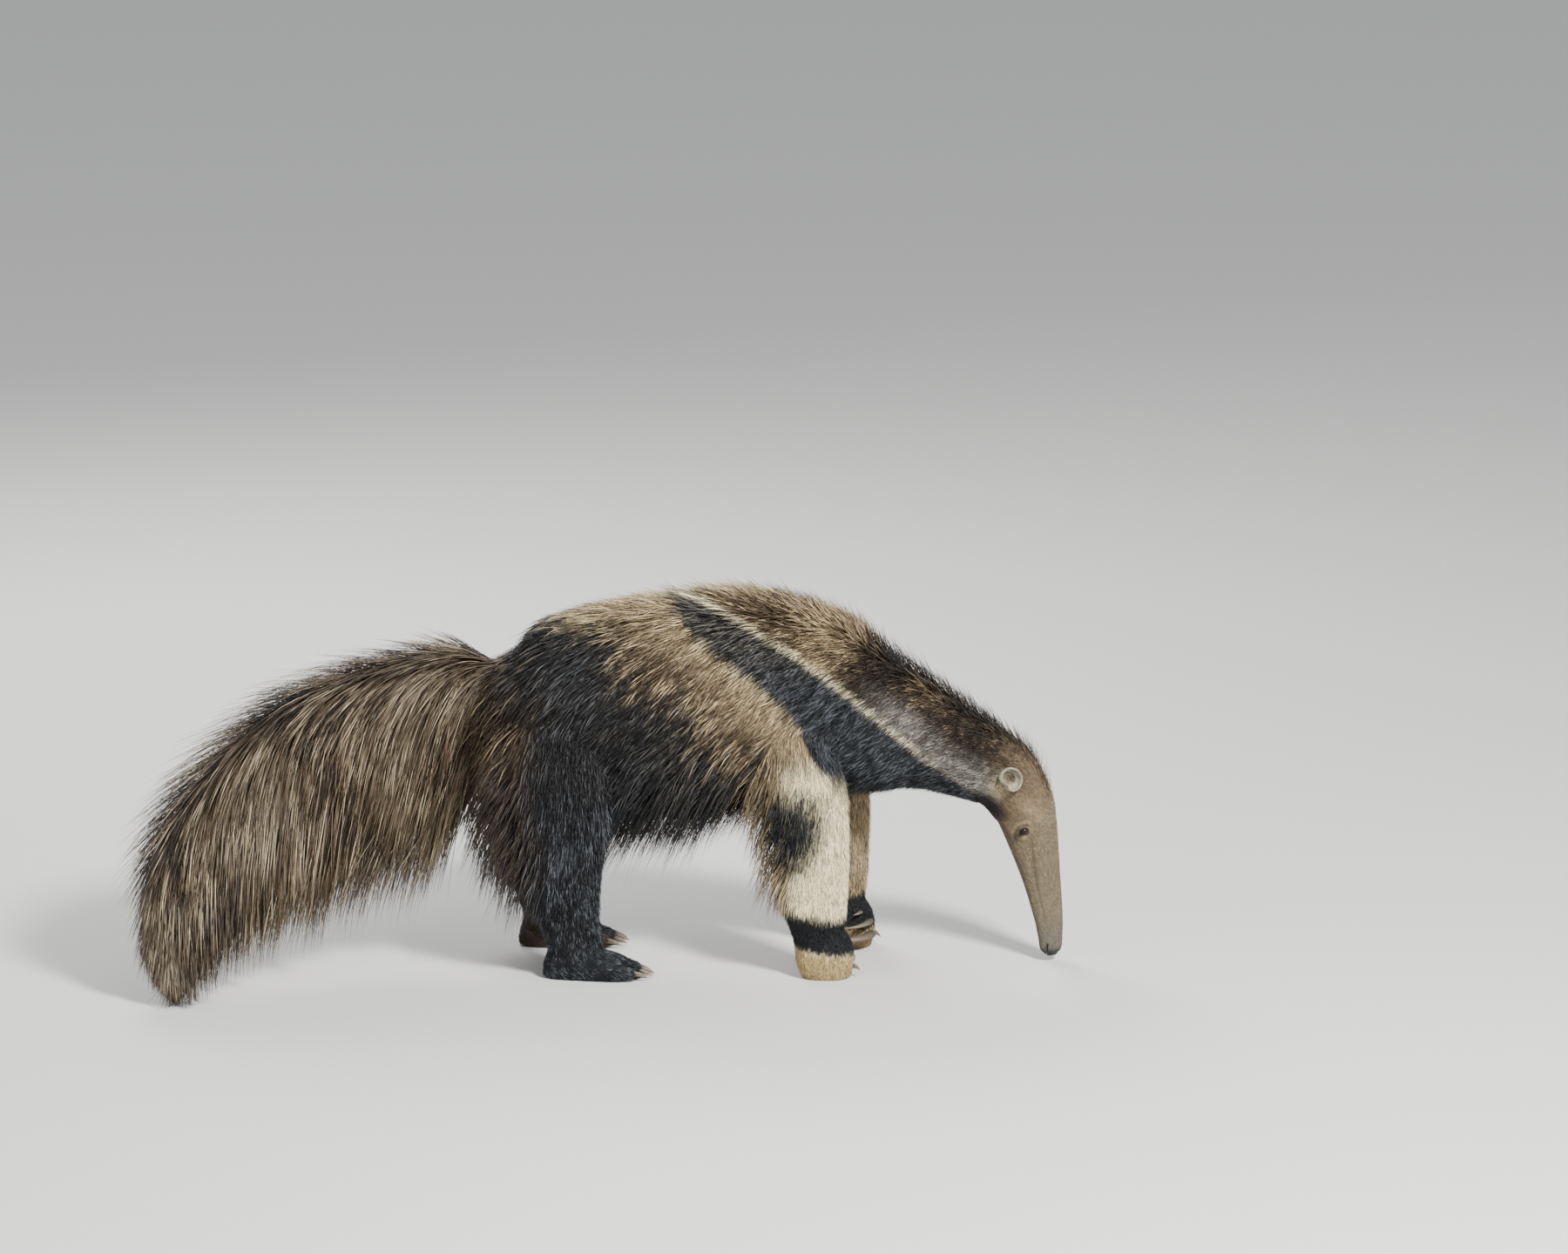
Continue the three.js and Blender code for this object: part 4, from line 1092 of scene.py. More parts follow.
def markings(places, form, part, side, chance):
    """Colours for places in the frame. part is a number in PARTS, for each place."""
    here = (places - origin) / MM
    x, outer_y, height = here.T
    seen = height - np.abs(outer_y) * SIDE_VIEW  # the height at which a viewer sees it
    noise = np.clip(patches(places), -1, 1)
    section, upward = form[:, 0], form[:, 1]
    facts = (x, seen, section, upward, noise, chance)
    outer = np.clip((np.abs(outer_y) - 104) / 50, -1, 1)  # 1 on a leg's outer side, -1 inside
    fore_shift = np.where(side > 0, STEP_AHEAD["left"], STEP_AHEAD["right"])
    hind_shift = np.where(side > 0, STEP_BEHIND["left"], STEP_BEHIND["right"])
    body = trunk_colour(*facts)
    face = tint(body, head_colour(*facts), ramp(section, 8.9, 9.9))
    fore = foreleg_colour(*facts, height, outer, fore_shift)
    fore = tint(fore, body, ramp(seen + 14 * noise, 272, 330))
    hind = hindleg_colour(*facts, height, outer, hind_shift)
    hind = tint(hind, body, ramp(seen + 20 * noise, 250, 370))
    # the deep inside of each ear cup is darker: painted shade
    ear = tint(np.tile(PALE_EAR, (len(x), 1)), DUN, ramp(section, 13.5, 16) * 0.7)
    all_parts = np.stack([face, face, body, fore, hind, ear] + 3 * [tail_colour(*facts)])
    return all_parts[part, np.arange(len(x))]


print("the coat has", len(PARTS), "parts:", ", ".join(PARTS))

# %% [markdown]
# The coat is planted one part at a time, so each face of the skin gets the number of its part.
# Most forms are one part. The trunk is split into torso, neck and head, and the tail into three
# lengths, by their sections.

# %% Number the parts of the skin
NECK_FROM, HEAD_FROM = 6.6, 9.4
TAIL_FROM = [5.7, 11.4]  # where the tail's middle and end start, its tip being at 17
face_points = np.array([polygon.vertices[0] for polygon in skin.data.polygons])
face_region = region_of[face_points]
face_section = section[face_points]
starts = {"tail": "tail_base", "foreleg": "foreleg", "hind": "hindleg", "ear": "ear", "lids": "head"}
part_of_face = np.zeros(len(face_points), int)
for number, name in enumerate(REGIONS):
    found = [part for start, part in starts.items() if name.startswith(start)]
    part_of_face[face_region == number] = PARTS.index(found[0]) if found else -1
of_trunk = part_of_face < 0
part_of_face[of_trunk] = np.digitize(-face_section[of_trunk], [-HEAD_FROM, -NECK_FROM])
of_tail = part_of_face == PARTS.index("tail_base")
part_of_face[of_tail] += np.digitize(face_section[of_tail], TAIL_FROM)
side_of_face = np.sign(points[face_points, 1] + 1e-9)
write_attribute(skin.data, "part", part_of_face, "INT", "FACE")
point_part = np.zeros(len(points), int)
for polygon, part in zip(skin.data.polygons, part_of_face):
    point_part[list(polygon.vertices)] = part
skin_form = np.stack([section, upward], -1)
shade = markings(points + origin, skin_form, point_part, np.sign(points[:, 1]), np.full(len(points), 0.5))
print("parts of the skin:", {name: int((part_of_face == i).sum()) for i, name in enumerate(PARTS)})

# %% [markdown]
# ## The coat, with Geometry Nodes
#
# One tree makes the coat of every part. It keeps the faces of one part, scatters points on them,
# and puts a slim, closed, three-sided spike on each point. The spikes are made real, and then
# each of their points is moved onto a curve that sets off with the lie of the hair and ends under
# its own weight. All numbers that differ from part to part are inputs of the tree. Hair curves
# would be lighter, but a solid tuft can be exported, and printed.

# %% A short way to write nodes


class Nodes:
    """Adds nodes to a tree and links them. A value that is a socket is linked, others are set."""

    def __init__(self, tree):
        self.tree = tree

    def add(self, kind, values=None, **settings):
        made = self.tree.nodes.new(kind)
        for key, value in settings.items():
            setattr(made, key, value)
        for key, value in (values or {}).items():
            self.feed(made.inputs[key], value)
        return made

    def feed(self, socket, value):
        if isinstance(value, bpy.types.NodeSocket):
            self.tree.links.new(value, socket)
        else:
            socket.default_value = value

    def math(self, operation, *values):
        return self.add("ShaderNodeMath", dict(enumerate(values)), operation=operation).outputs[0]

    def vector(self, operation, *values):
        made = self.add("ShaderNodeVectorMath", dict(enumerate(values)), operation=operation)
        return made.outputs["Value" if operation in ("DOT_PRODUCT", "LENGTH") else "Vector"]

    def times(self, vector, number):
        return self.add("ShaderNodeVectorMath", {0: vector, "Scale": number}, operation="SCALE").outputs[0]

    def total(self, *vectors):
        result = vectors[0]
        for one in vectors[1:]:
            result = self.vector("ADD", result, one)
        return result

    def named(self, name, kind="FLOAT"):
        return self.add("GeometryNodeInputNamedAttribute", {"Name": name}, data_type=kind).outputs[0]

    def store(self, geometry, name, value, kind="FLOAT", domain="POINT"):
        values = {"Geometry": geometry, "Name": name, "Value": value}
        made = self.add("GeometryNodeStoreNamedAttribute", values, data_type=kind, domain=domain)
        return made.outputs[0]


print("short names for nodes:", ", ".join(name for name in vars(Nodes) if not name.startswith("_")))

# %% [markdown]
# The curve of a tuft is a parabola. At the share u of its length it has gone u times its first
# direction, plus half of u squared times the change of direction. Noise that changes slowly over
# the skin bends neighbours the same way, which gathers them into locks.

# %% The roots of the tufts
COAT_INPUTS = [
    ("Part", "NodeSocketInt", 0),  # its number in PARTS
    ("Side", "NodeSocketFloat", 0.0),  # -1 is the right side, 1 the left, 0 both
    ("Fullness", "NodeSocketFloat", 1.0),  # how many tufts, against the plain number
    ("Width", "NodeSocketFloat", 1.0),  # how wide they are, against the plain width
    ("Pieces", "NodeSocketInt", 2),  # how many pieces a tuft bends in
    ("Lock Size", "NodeSocketFloat", 0.015),  # metres from lock to lock
    ("Gather", "NodeSocketFloat", 0.6),  # how far the tips move to the middle of their lock
    ("Lock Bend", "NodeSocketFloat", 0.5),  # how far locks bend away from the lie
    ("Stray", "NodeSocketFloat", 0.25),  # how far single tufts bend away from it
    ("Seed", "NodeSocketInt", 1),
    ("Material", "NodeSocketMaterial", None),
]
PATCH = 0.003  # how wide one tuft is on the map for baking
ROOTED = 0.06  # the share of a tuft that is inside the skin


def roots(n, given, position):
    """Points on one part of the skin, each with all that its tuft needs."""
    # keep the faces of one part and side
    both = {2: n.named("part", "INT"), 3: given["Part"]}
    wrong_part = n.add("FunctionNodeCompare", both, data_type="INT", operation="NOT_EQUAL").outputs[0]
    aside = n.math("MULTIPLY", n.named("side"), given["Side"])
    wrong_side = n.math("LESS_THAN", aside, -0.5)
    wrong = n.add("FunctionNodeBooleanMath", {0: wrong_part, 1: wrong_side}, operation="OR").outputs[0]
    both = {"Geometry": given["Geometry"], "Selection": wrong}
    kept = n.add("GeometryNodeDeleteGeometry", both, domain="FACE")

    # scatter the roots, and give each its own chances
    density = n.math("MULTIPLY", n.named("crowd"), given["Fullness"])
    scatter = n.add(
        "GeometryNodeDistributePointsOnFaces",
        {"Mesh": kept.outputs[0], "Density": density, "Seed": given["Seed"]},
    ).outputs
    normal = scatter["Normal"]
    limits = {0: (-1.0, -1.0, -1.0), 1: (1.0, 1.0, 1.0), "Seed": given["Seed"]}
    stray = n.add("FunctionNodeRandomValue", limits, data_type="FLOAT_VECTOR")
    chance = n.add("FunctionNodeRandomValue", {"Seed": 11}, data_type="FLOAT").outputs[1]
    other = n.add("FunctionNodeRandomValue", {"Seed": 12}, data_type="FLOAT").outputs[1]
    sleek = n.math("MINIMUM", n.math("MULTIPLY_ADD", n.named("length"), 0.08, 0.15), 1.0)
    stray = n.times(stray.outputs[0], n.math("MULTIPLY", given["Stray"], sleek))
    # find the middle of the root's lock, and the way that locks bend here
    scale = n.math("DIVIDE", 1.0, given["Lock Size"])
    lock = n.add("ShaderNodeTexVoronoi", {"Vector": position, "Scale": scale}).outputs
    inwards = n.vector("SUBTRACT", lock["Position"], position)
    inwards = n.vector("SUBTRACT", inwards, n.times(normal, n.vector("DOT_PRODUCT", inwards, normal)))
    gather = n.times(inwards, n.math("MULTIPLY", given["Gather"], n.math("MULTIPLY_ADD", other, 0.7, 0.3)))
    tone = n.add("ShaderNodeSeparateXYZ", {0: lock["Color"]}).outputs["X"]
    scale = n.math("MULTIPLY", scale, 0.4)
    noise = n.add("ShaderNodeTexNoise", {"Vector": position, "Scale": scale, "Detail": 1.0}).outputs["Color"]
    bend = n.times(n.vector("SUBTRACT", noise, (0.5, 0.5, 0.5)), given["Lock Bend"])
    bend = n.times(bend, 2.0)

    # the directions in which a tuft sets off and ends, its flat side, its length and its width
    lie = n.vector("NORMALIZE", n.named("lie", "FLOAT_VECTOR"))
    start = n.total(lie, n.times(normal, n.named("stand")), n.times(stray, 0.6), n.times(bend, 0.4))
    start = n.vector("NORMALIZE", start)
    hang = n.times(n.add("FunctionNodeInputVector", vector=(0, 0, -1)).outputs[0], n.named("fall"))
    risen = n.times(normal, n.math("MULTIPLY", n.named("stand"), 0.3))
    end = n.vector("NORMALIZE", n.total(lie, hang, stray, bend, risen))
    across = n.vector("NORMALIZE", n.vector("CROSS_PRODUCT", start, n.total(normal, n.times(stray, 1.2))))
    facing = n.vector("CROSS_PRODUCT", across, start)
    reach = n.math("MULTIPLY", n.named("length"), n.math("MULTIPLY_ADD", other, 0.4, 0.78))
    reach = n.math("MULTIPLY", reach, 0.001)
    wide = n.math("MULTIPLY", n.named("girth"), n.math("MULTIPLY_ADD", chance, 0.6, 0.7))
    wide = n.math("MULTIPLY", wide, n.math("MULTIPLY", given["Width"], 0.001))

    points = scatter["Points"]
    directions = {"root": position, "start": start, "end": end, "across": across, "facing": facing}
    for name, value in {**directions, "gather": gather}.items():
        points = n.store(points, name, value, "FLOAT_VECTOR")
    for name, value in {"reach": reach, "wide": wide, "chance": chance, "tone": tone}.items():
        points = n.store(points, name, value)
    return points


print("inputs of the tree:", len(COAT_INPUTS))

# %% [markdown]
# A spike is a cone with three sides and a length of 1. Its own points say how far along the tuft
# they are, and how far from its middle. With that, and with what its root remembers, each point
# finds its place on the curve. The whole tree then starts with the skin and ends with a mesh.

# %% The spikes, and the whole tree


def spikes(n, given, position, points):
    """A solid, bent spike on each root."""
    # put a spike of length 1 on each root
    cone = {"Vertices": 3, "Side Segments": given["Pieces"], "Depth": 1.0}
    cone.update({"Radius Top": 0.0, "Radius Bottom": 0.5})
    spike = n.add("GeometryNodeMeshCone", cone).outputs["Mesh"]
    spike = n.store(spike, "blade", position, "FLOAT_VECTOR")
    planted = n.add("GeometryNodeInstanceOnPoints", {"Points": points, "Instance": spike}).outputs[0]
    real = n.add("GeometryNodeRealizeInstances", {"Geometry": planted}).outputs[0]

    # move each point of the spikes onto its tuft's curve
    blade = n.add("ShaderNodeSeparateXYZ", {0: n.named("blade", "FLOAT_VECTOR")}).outputs
    u = blade["Z"]
    fuller = n.math("POWER", n.math("MAXIMUM", n.math("SUBTRACT", 1.0, u), 0.01), -0.5)
    swell = n.math("MULTIPLY", fuller, n.named("wide"))
    first, last = n.named("start", "FLOAT_VECTOR"), n.named("end", "FLOAT_VECTOR")
    curve = n.math("MULTIPLY", n.math("MULTIPLY", u, u), 0.5)
    turned = n.times(n.vector("SUBTRACT", last, first), curve)
    path = n.total(n.times(first, n.math("SUBTRACT", u, ROOTED)), turned)
    gathered = n.times(n.named("gather", "FLOAT_VECTOR"), n.math("MULTIPLY", u, u))
    path = n.total(n.times(path, n.named("reach")), gathered)
    sideways = n.times(n.named("across", "FLOAT_VECTOR"), n.math("MULTIPLY", blade["Y"], swell))
    thin = n.math("MULTIPLY", blade["X"], n.math("MULTIPLY", swell, 0.5))
    outwards = n.times(n.named("facing", "FLOAT_VECTOR"), thin)
    place = n.total(n.named("root", "FLOAT_VECTOR"), path, sideways, outwards)
    parts = n.add("ShaderNodeSeparateXYZ", {0: place}).outputs  # no hair goes below the floor
    above = n.math("MAXIMUM", parts["Z"], n.math("MULTIPLY", n.named("chance"), 0.002))
    place = n.add("ShaderNodeCombineXYZ", {0: parts["X"], 1: parts["Y"], 2: above}).outputs[0]
    bent = n.add("GeometryNodeSetPosition", {"Geometry": real, "Position": place}).outputs[0]

    # the map for baking, a little smaller than 1 so that the last patches stay on it
    on_patch = n.add("ShaderNodeCombineXYZ", {0: n.math("ADD", blade["Y"], 0.5), 1: u}).outputs[0]
    on_map = n.times(n.named("PartMap", "FLOAT_VECTOR"), 1 - 2 * PATCH)
    baked = n.total(on_map, n.times(on_patch, PATCH))
    return n.store(bent, "OFBake", baked, "FLOAT2", "CORNER")


def coat_tree():
    """The node tree that turns the skin into one piece of the coat."""
    tree = bpy.data.node_groups.new("Coat", "GeometryNodeTree")
    tree.interface.new_socket("Geometry", in_out="INPUT", socket_type="NodeSocketGeometry")
    for name, kind, value in COAT_INPUTS:
        socket = tree.interface.new_socket(name, in_out="INPUT", socket_type=kind)
        if value is not None:
            socket.default_value = value
    tree.interface.new_socket("Geometry", in_out="OUTPUT", socket_type="NodeSocketGeometry")
    n = Nodes(tree)
    given = n.add("NodeGroupInput").outputs
    position = n.add("GeometryNodeInputPosition").outputs[0]
    bent = spikes(n, given, position, roots(n, given, position))
    smooth = n.add("GeometryNodeSetShadeSmooth", {"Geometry": bent}).outputs[0]
    done = n.add("GeometryNodeSetMaterial", {"Geometry": smooth, "Material": given["Material"]}).outputs[0]
    n.add("NodeGroupOutput", {0: done})
    return tree


coat = coat_tree()
print("the coat's tree has", len(coat.nodes), "nodes")

# %% [markdown]
# ## Materials
#
# Hair shines along its length, and each tuft is painted darker at the root as painted shade, where
# no light gets in. An anteater's hairs are also banded, dark and pale, which gives the coat its
# speckle. The coat's material reads the marking that each tuft carries and the place along the
# tuft. The skin has the same markings, with noise that is stretched along the fur: hairs, and locks
# of them. The skin is also darkened as painted shade of the coat over it, most in the noise's
# troughs and least under short fur.

# %% Materials


def new_material(name, roughness, specular=0.4, **sockets):
    """A material, its nodes and its shader. Other sockets are named with _ for a space."""
    made = bpy.data.materials.new(name)
    made.use_nodes = True
    n = Nodes(made.node_tree)
    shader = made.node_tree.nodes["Principled BSDF"]
    shader.inputs["Roughness"].default_value = roughness
    shader.inputs["Specular IOR Level"].default_value = specular
    for socket, value in sockets.items():
        shader.inputs[socket.replace("_", " ")].default_value = value
    return made, n, shader


def attribute(n, name, output="Fac"):
    """An attribute of the mesh, for a material."""
    return n.add("ShaderNodeAttribute", attribute_name=name).outputs[output]


def colour_ramp(n, factor, *stops):
    """Colours that follow a factor. Each stop is a place from 0 to 1 and its colour."""
    made = n.add("ShaderNodeValToRGB", {"Fac": factor})
    elements = made.color_ramp.elements
    for number, (place, colour) in enumerate(stops):
        stop = elements[number] if number < 2 else elements.new(place)
        stop.position = place
        stop.color = (*colour, 1)
    return made.outputs["Color"]


def coat_material():
    made, n, shader = new_material("coat", 0.5, 0.35)
    along = attribute(n, "along")
    chance = attribute(n, "luck")
    light = n.math("MULTIPLY_ADD", along, 0.95, 0.25)
    light = n.math("MULTIPLY", light, n.math("MULTIPLY_ADD", chance, 0.9, 0.55))
    band = n.math("SINE", n.math("ADD", n.math("MULTIPLY", along, 14.0), n.math("MULTIPLY", chance, 25.0)))
    light = n.math("MULTIPLY", light, n.math("MULTIPLY_ADD", band, 0.28, 1.0))
    marking = attribute(n, "marking", "Vector")
    brightness = n.vector("DOT_PRODUCT", marking, (0.3, 0.6, 0.1))
    pale = n.math("MULTIPLY", brightness, 0.7)  # pale hair lets light through to its roots
    light = n.math("MULTIPLY_ADD", n.math("SUBTRACT", 1.05, light), pale, light)
    n.feed(shader.inputs["Base Color"], n.times(marking, light))
    return made


def skin_material():
    made, n, shader = new_material("skin", 0.75, 0.25)
    streaks = n.vector("MULTIPLY", attribute(n, "fur", "Vector"), (0.22, 1.0, 1.0))
    hairs = n.add("ShaderNodeTexNoise", {"Vector": streaks, "Scale": 1500.0, "Detail": 2.0}).outputs[0]
    locks = n.add("ShaderNodeTexNoise", {"Vector": streaks, "Scale": 330.0, "Detail": 3.0}).outputs[0]
    height = n.math("ADD", hairs, n.math("MULTIPLY", locks, 1.3))
    # painted shade of the coat: the skin is darkened, down to a tenth in the troughs of the noise
    light = n.math("MAXIMUM", n.math("MULTIPLY_ADD", height, 1.5, -1.12), 0.1)
    # short fur is lit more evenly than the skin deep in a long coat
    even = n.math("MULTIPLY_ADD", height, 0.75, -0.12)
    light = n.math("MULTIPLY_ADD", n.math("SUBTRACT", even, light), attribute(n, "short"), light)
    n.feed(shader.inputs["Base Color"], n.times(attribute(n, "marking", "Vector"), light))
    bump = n.add("ShaderNodeBump", {"Strength": 0.7, "Distance": 0.0007, "Height": height})
    n.feed(shader.inputs["Normal"], bump.outputs[0])
    return made


coat_stuff = coat_material()
skin_stuff = skin_material()
print("materials:", coat_stuff.name, "and", skin_stuff.name)

# %% [markdown]
# ## Plant the coat
#
# Each row below is one piece of the coat. The head gets small tufts close together, and the tail
# long ones that bend in four pieces and gather in wide locks.

# %% The pieces of the coat
write_attribute(skin.data, "side", side_of_face, "FLOAT", "FACE")
PIECES = {
    # name: part, side, fullness, width, pieces, lock size, gather, lock bend, stray
    "coat_head": ("head", 0, 0.85, 1.15, 1, 0.005, 0.4, 0.3, 0.35),
    "coat_ears": ("ear", 0, 1.0, 1.0, 2, 0.006, 0.3, 0.3, 0.4),
    "coat_neck": ("neck", 0, 0.6, 1.5, 2, 0.009, 0.6, 0.4, 0.35),
    "coat_torso_right": ("torso", -1, 1.1, 1.6, 2, 0.010, 0.6, 0.45, 0.35),
    "coat_torso_left": ("torso", 1, 1.1, 1.6, 2, 0.010, 0.6, 0.45, 0.35),
    "coat_tail_base": ("tail_base", 0, 1.0, 1.3, 4, 0.018, 0.75, 0.32, 0.14),
    "coat_tail_middle": ("tail_middle", 0, 1.0, 1.3, 4, 0.018, 0.75, 0.32, 0.14),
    "coat_tail_end": ("tail_end", 0, 1.0, 1.3, 4, 0.018, 0.75, 0.32, 0.14),
    "coat_foreleg_right": ("foreleg", -1, 0.5, 1.5, 2, 0.008, 0.6, 0.4, 0.3),
    "coat_foreleg_left": ("foreleg", 1, 0.5, 1.5, 2, 0.008, 0.6, 0.4, 0.3),
    "coat_hindleg_right": ("hindleg", -1, 0.65, 1.5, 2, 0.010, 0.6, 0.45, 0.3),
    "coat_hindleg_left": ("hindleg", 1, 0.65, 1.5, 2, 0.010, 0.6, 0.45, 0.3),
}
SLOTS = {"head": "head_coat", "ear": "ear_skin", "foreleg": "foreleg_coat", "hindleg": "hindleg_coat"}
HELPERS = """root start end across facing reach wide chance tone gather blade lie length stand fall girth
crowd short form fur part side SkinMap PartMap""".split()
SEEN_FROM = 0.6  # the share of a tuft after which no other tuft covers it
print("pieces of the coat:", len(PIECES))

# %% [markdown]
# Before a piece is planted, its part of the skin is unwrapped once more, on its own, so that it
# fills a map. On that map each tuft gets a small patch at its root's place, and no patch is
# shared by tufts that are far apart. The tree's result is then made a plain mesh, and each tuft
# gets the one colour that it has where it is seen.

# %% Plant the coat


def read_attribute(mesh, name, width=1):
    """The values of an attribute, in rows of so many numbers."""
    source = mesh.attributes[name]
    flat = np.empty(len(source.data) * width, np.float32)
    source.data.foreach_get("vector" if width == 3 else "value", flat)
    return flat.reshape(-1, width) if width > 1 else flat


def plant(name, seed, part, side, *numbers):
    """One piece of the coat, with the number of its triangles."""
    unwrap("PartMap", (part_of_face == PARTS.index(part)) & (side_of_face * side >= 0))
    grower = bpy.data.objects.new(name, skin.data)
    bpy.context.scene.collection.objects.link(grower)
    step = grower.modifiers.new("coat", "NODES")
    step.node_group = coat
    values = (PARTS.index(part), float(side), *numbers, seed, coat_stuff)
    sockets = [item for item in coat.interface.items_tree if item.in_out == "INPUT"][1:]
    for socket, value in zip(sockets, values):
        step[socket.identifier] = value
    mesh = plain_mesh(grower)
    grower.modifiers.clear()
    grower.data = mesh
    root = read_attribute(mesh, "root", 3)
    form = read_attribute(mesh, "form", 3)
    own, lock = read_attribute(mesh, "chance"), read_attribute(mesh, "tone")
    chance = np.clip(0.8 * own + 0.7 * lock - 0.25, 0, 1)
    variety = blend(0.45, 1, ramp(read_attribute(mesh, "length"), 3, 10))  # short hairs vary less
    chance = 0.5 + (chance - 0.5) * variety
    first, last = read_attribute(mesh, "start", 3), read_attribute(mesh, "end", 3)
    u = SEEN_FROM
    path = (first * u + (last - first) * u * u / 2) * read_attribute(mesh, "reach")[:, None]
    place = root + path + read_attribute(mesh, "gather", 3) * u * u
    number = np.full(len(root), PARTS.index(part))
    which = np.full(len(root), side) if side else np.sign(root[:, 1] - origin[1])
    shades = markings(place.astype(float), form, number, which, chance)
    # short fur gets little painted shade at its roots, so it is nearly as light there as at its tips
    along = blend(read_attribute(mesh, "blade", 3)[:, 2], 0.68, 0.75 * read_attribute(mesh, "short"))
    for old in [a.name for a in mesh.attributes if a.name in HELPERS]:
        mesh.attributes.remove(mesh.attributes[old])
    for old in [layer.name for layer in mesh.uv_layers if layer.name != "OFBake"]:
        mesh.uv_layers.remove(mesh.uv_layers[old])
    write_attribute(mesh, "marking", np.column_stack([shades, np.ones(len(shades))]), "FLOAT_COLOR")
    write_attribute(mesh, "along", along)
    write_attribute(mesh, "luck", chance)
    mesh.name = name
    triangles = sum(len(polygon.vertices) - 2 for polygon in mesh.polygons)
    print(name, "has", triangles, "triangles")
    return grower, triangles


coats = {}
total = 0
for seed, (name, (part, side, *numbers)) in enumerate(PIECES.items(), 21):
    coats[name], triangles = plant(name, seed, part, side, *numbers)
    total += triangles
print("the coat has", total, "triangles")

# %% [markdown]
# ## Eyes
#
# The eye is small, brown and very dark, with a bulge over the iris that catches the light. It is
# a ball whose poles lie on the line of sight, so that rings of colour follow its rings of points.
# A larger eye would get a clear shell of its own over the iris.

# %% Eyeballs
IRIS = {"edge": math.radians(36), "bulge": 0.5 * MM}
PUPIL_BLACK, IRIS_BROWN, IRIS_EDGE = (0.003, 0.003, 0.003), (0.018, 0.008, 0.004), (0.01, 0.005, 0.003)
EYE_WHITE = (0.03, 0.02, 0.015)


def eyeball(name, side):
    """An eyeball in its place, with each point's angle from the line of sight."""
    centre, look = on_head(EYE, side), gaze(side)
    first = unit(np.cross(UP, look))
    second = np.cross(look, first)
    made = ball(f"eyeball_{name}", centre, np.stack([first, second, look]) * EYE["radius"], 48, 40)
    points = points_of(made.data)
    out = unit(points - centre)
    polar = np.arccos(np.clip(out @ look, -1, 1))
    bulge = out * (IRIS["bulge"] * bump_at(polar, IRIS["edge"] * 0.8))[:, None]
    made.data.vertices.foreach_set("co", (points + bulge + origin).astype(np.float32).ravel())
    write_attribute(made.data, "from_sight", polar)
    made.data.shade_smooth()
    return made


def eye_material():
    made, n, shader = new_material("eye", 0.1, 0.22)
    away = n.math("DIVIDE", attribute(n, "from_sight"), math.radians(60))
    rings = (0.24, PUPIL_BLACK), (0.31, IRIS_BROWN), (0.56, IRIS_EDGE), (0.66, EYE_WHITE)
    n.feed(shader.inputs["Base Color"], colour_ramp(n, away, *rings))
    return made


print("the iris is", round(2 * EYE["radius"] / MM * math.sin(IRIS["edge"]), 1), "mm wide")

# %% [markdown]
# ## Claws
#
# A claw is a horn along an arc, a little flattened. The front ones are long and are carried
# turned inwards, and the hind ones are short and point ahead. The horn is streaked along its
# length, and its tip is worn paler.

# %% Claws
FORE_CLAWS = {
    # name: its root, the way it sets off, the way it bends, its length, its bend and half its width
    "first": [(384, 74, 62), (0.1, -1, 0.1), (-1, 0, -0.2), 24, 70, 5],
    "second": [(398, 80, 46), (0.1, -1, 0), (-1, 0.1, -0.1), 64, 115, 7.5],
    "third": [(400, 84, 24), (0.1, -1, 0), (-1, 0.1, 0), 92, 125, 10],
    "fourth": [(403, 112, 20), (1, -0.2, 0), (0, 0, -1), 20, 60, 4.5],
}
HIND_CLAW = {"ahead": 10, "length": 29, "bend": 38, "thick": 5, "splay": 0.2}
CLAW = {"flat": 0.6, "tip": 0.06, "keel": 0.12, "steps": 22, "sides": 20}
HORN_DARK, HORN_PALE = (0.035, 0.028, 0.022), (0.21, 0.165, 0.11)


def horn(at, aim, hook, length, bend, thick):
    """Rings of a claw, all sizes in millimetres and the bend in degrees."""
    ahead = unit(np.array(aim, float))
    turn = np.array(hook, float)
    turn = unit(turn - ahead * (turn @ ahead))
    u = np.linspace(0, 1, CLAW["steps"])
    bend = math.radians(bend)
    radius = length / bend
    go, side = radius * np.sin(bend * u), radius * (1 - np.cos(bend * u))
    middle = np.array(at) + go[:, None] * ahead + side[:, None] * turn
    along = np.cos(bend * u)[:, None] * ahead + np.sin(bend * u)[:, None] * turn
    wide = unit(np.cross(turn, ahead))
    tall = np.cross(along, wide)
    girth = thick * (1 - (1 - CLAW["tip"]) * u**1.6)
    around = np.linspace(0, 2 * np.pi, CLAW["sides"], endpoint=False)
    keel = 1 + CLAW["keel"] * np.maximum(-np.sin(around), 0) ** 2
    rings = middle[:, None] + girth[:, None, None] * (
        (CLAW["flat"] * np.cos(around) * keel)[None, :, None] * wide
        + (np.sin(around) * keel)[None, :, None] * tall[:, None]
    )
    return rings * MM, u


def claws(name, rows):
    """Several claws as one object, with the share of its length at each point."""
    points, faces, tipward = [], [], []
    for row in rows:
        rings, u = horn(*row)
        more_points, more_faces = closed_form(rings)
        faces += [tuple(index + len(points) for index in face) for face in more_faces]
        points += (more_points + origin).tolist()
        tipward += [0, *np.repeat(u, CLAW["sides"]), 1]
    points = np.array(points)
    points[:, 2] = np.maximum(points[:, 2], 0.2 * MM)
    made = mesh_object(name, points, faces)
    write_attribute(made.data, "tipward", tipward)
    made.data.shade_smooth()
    return made


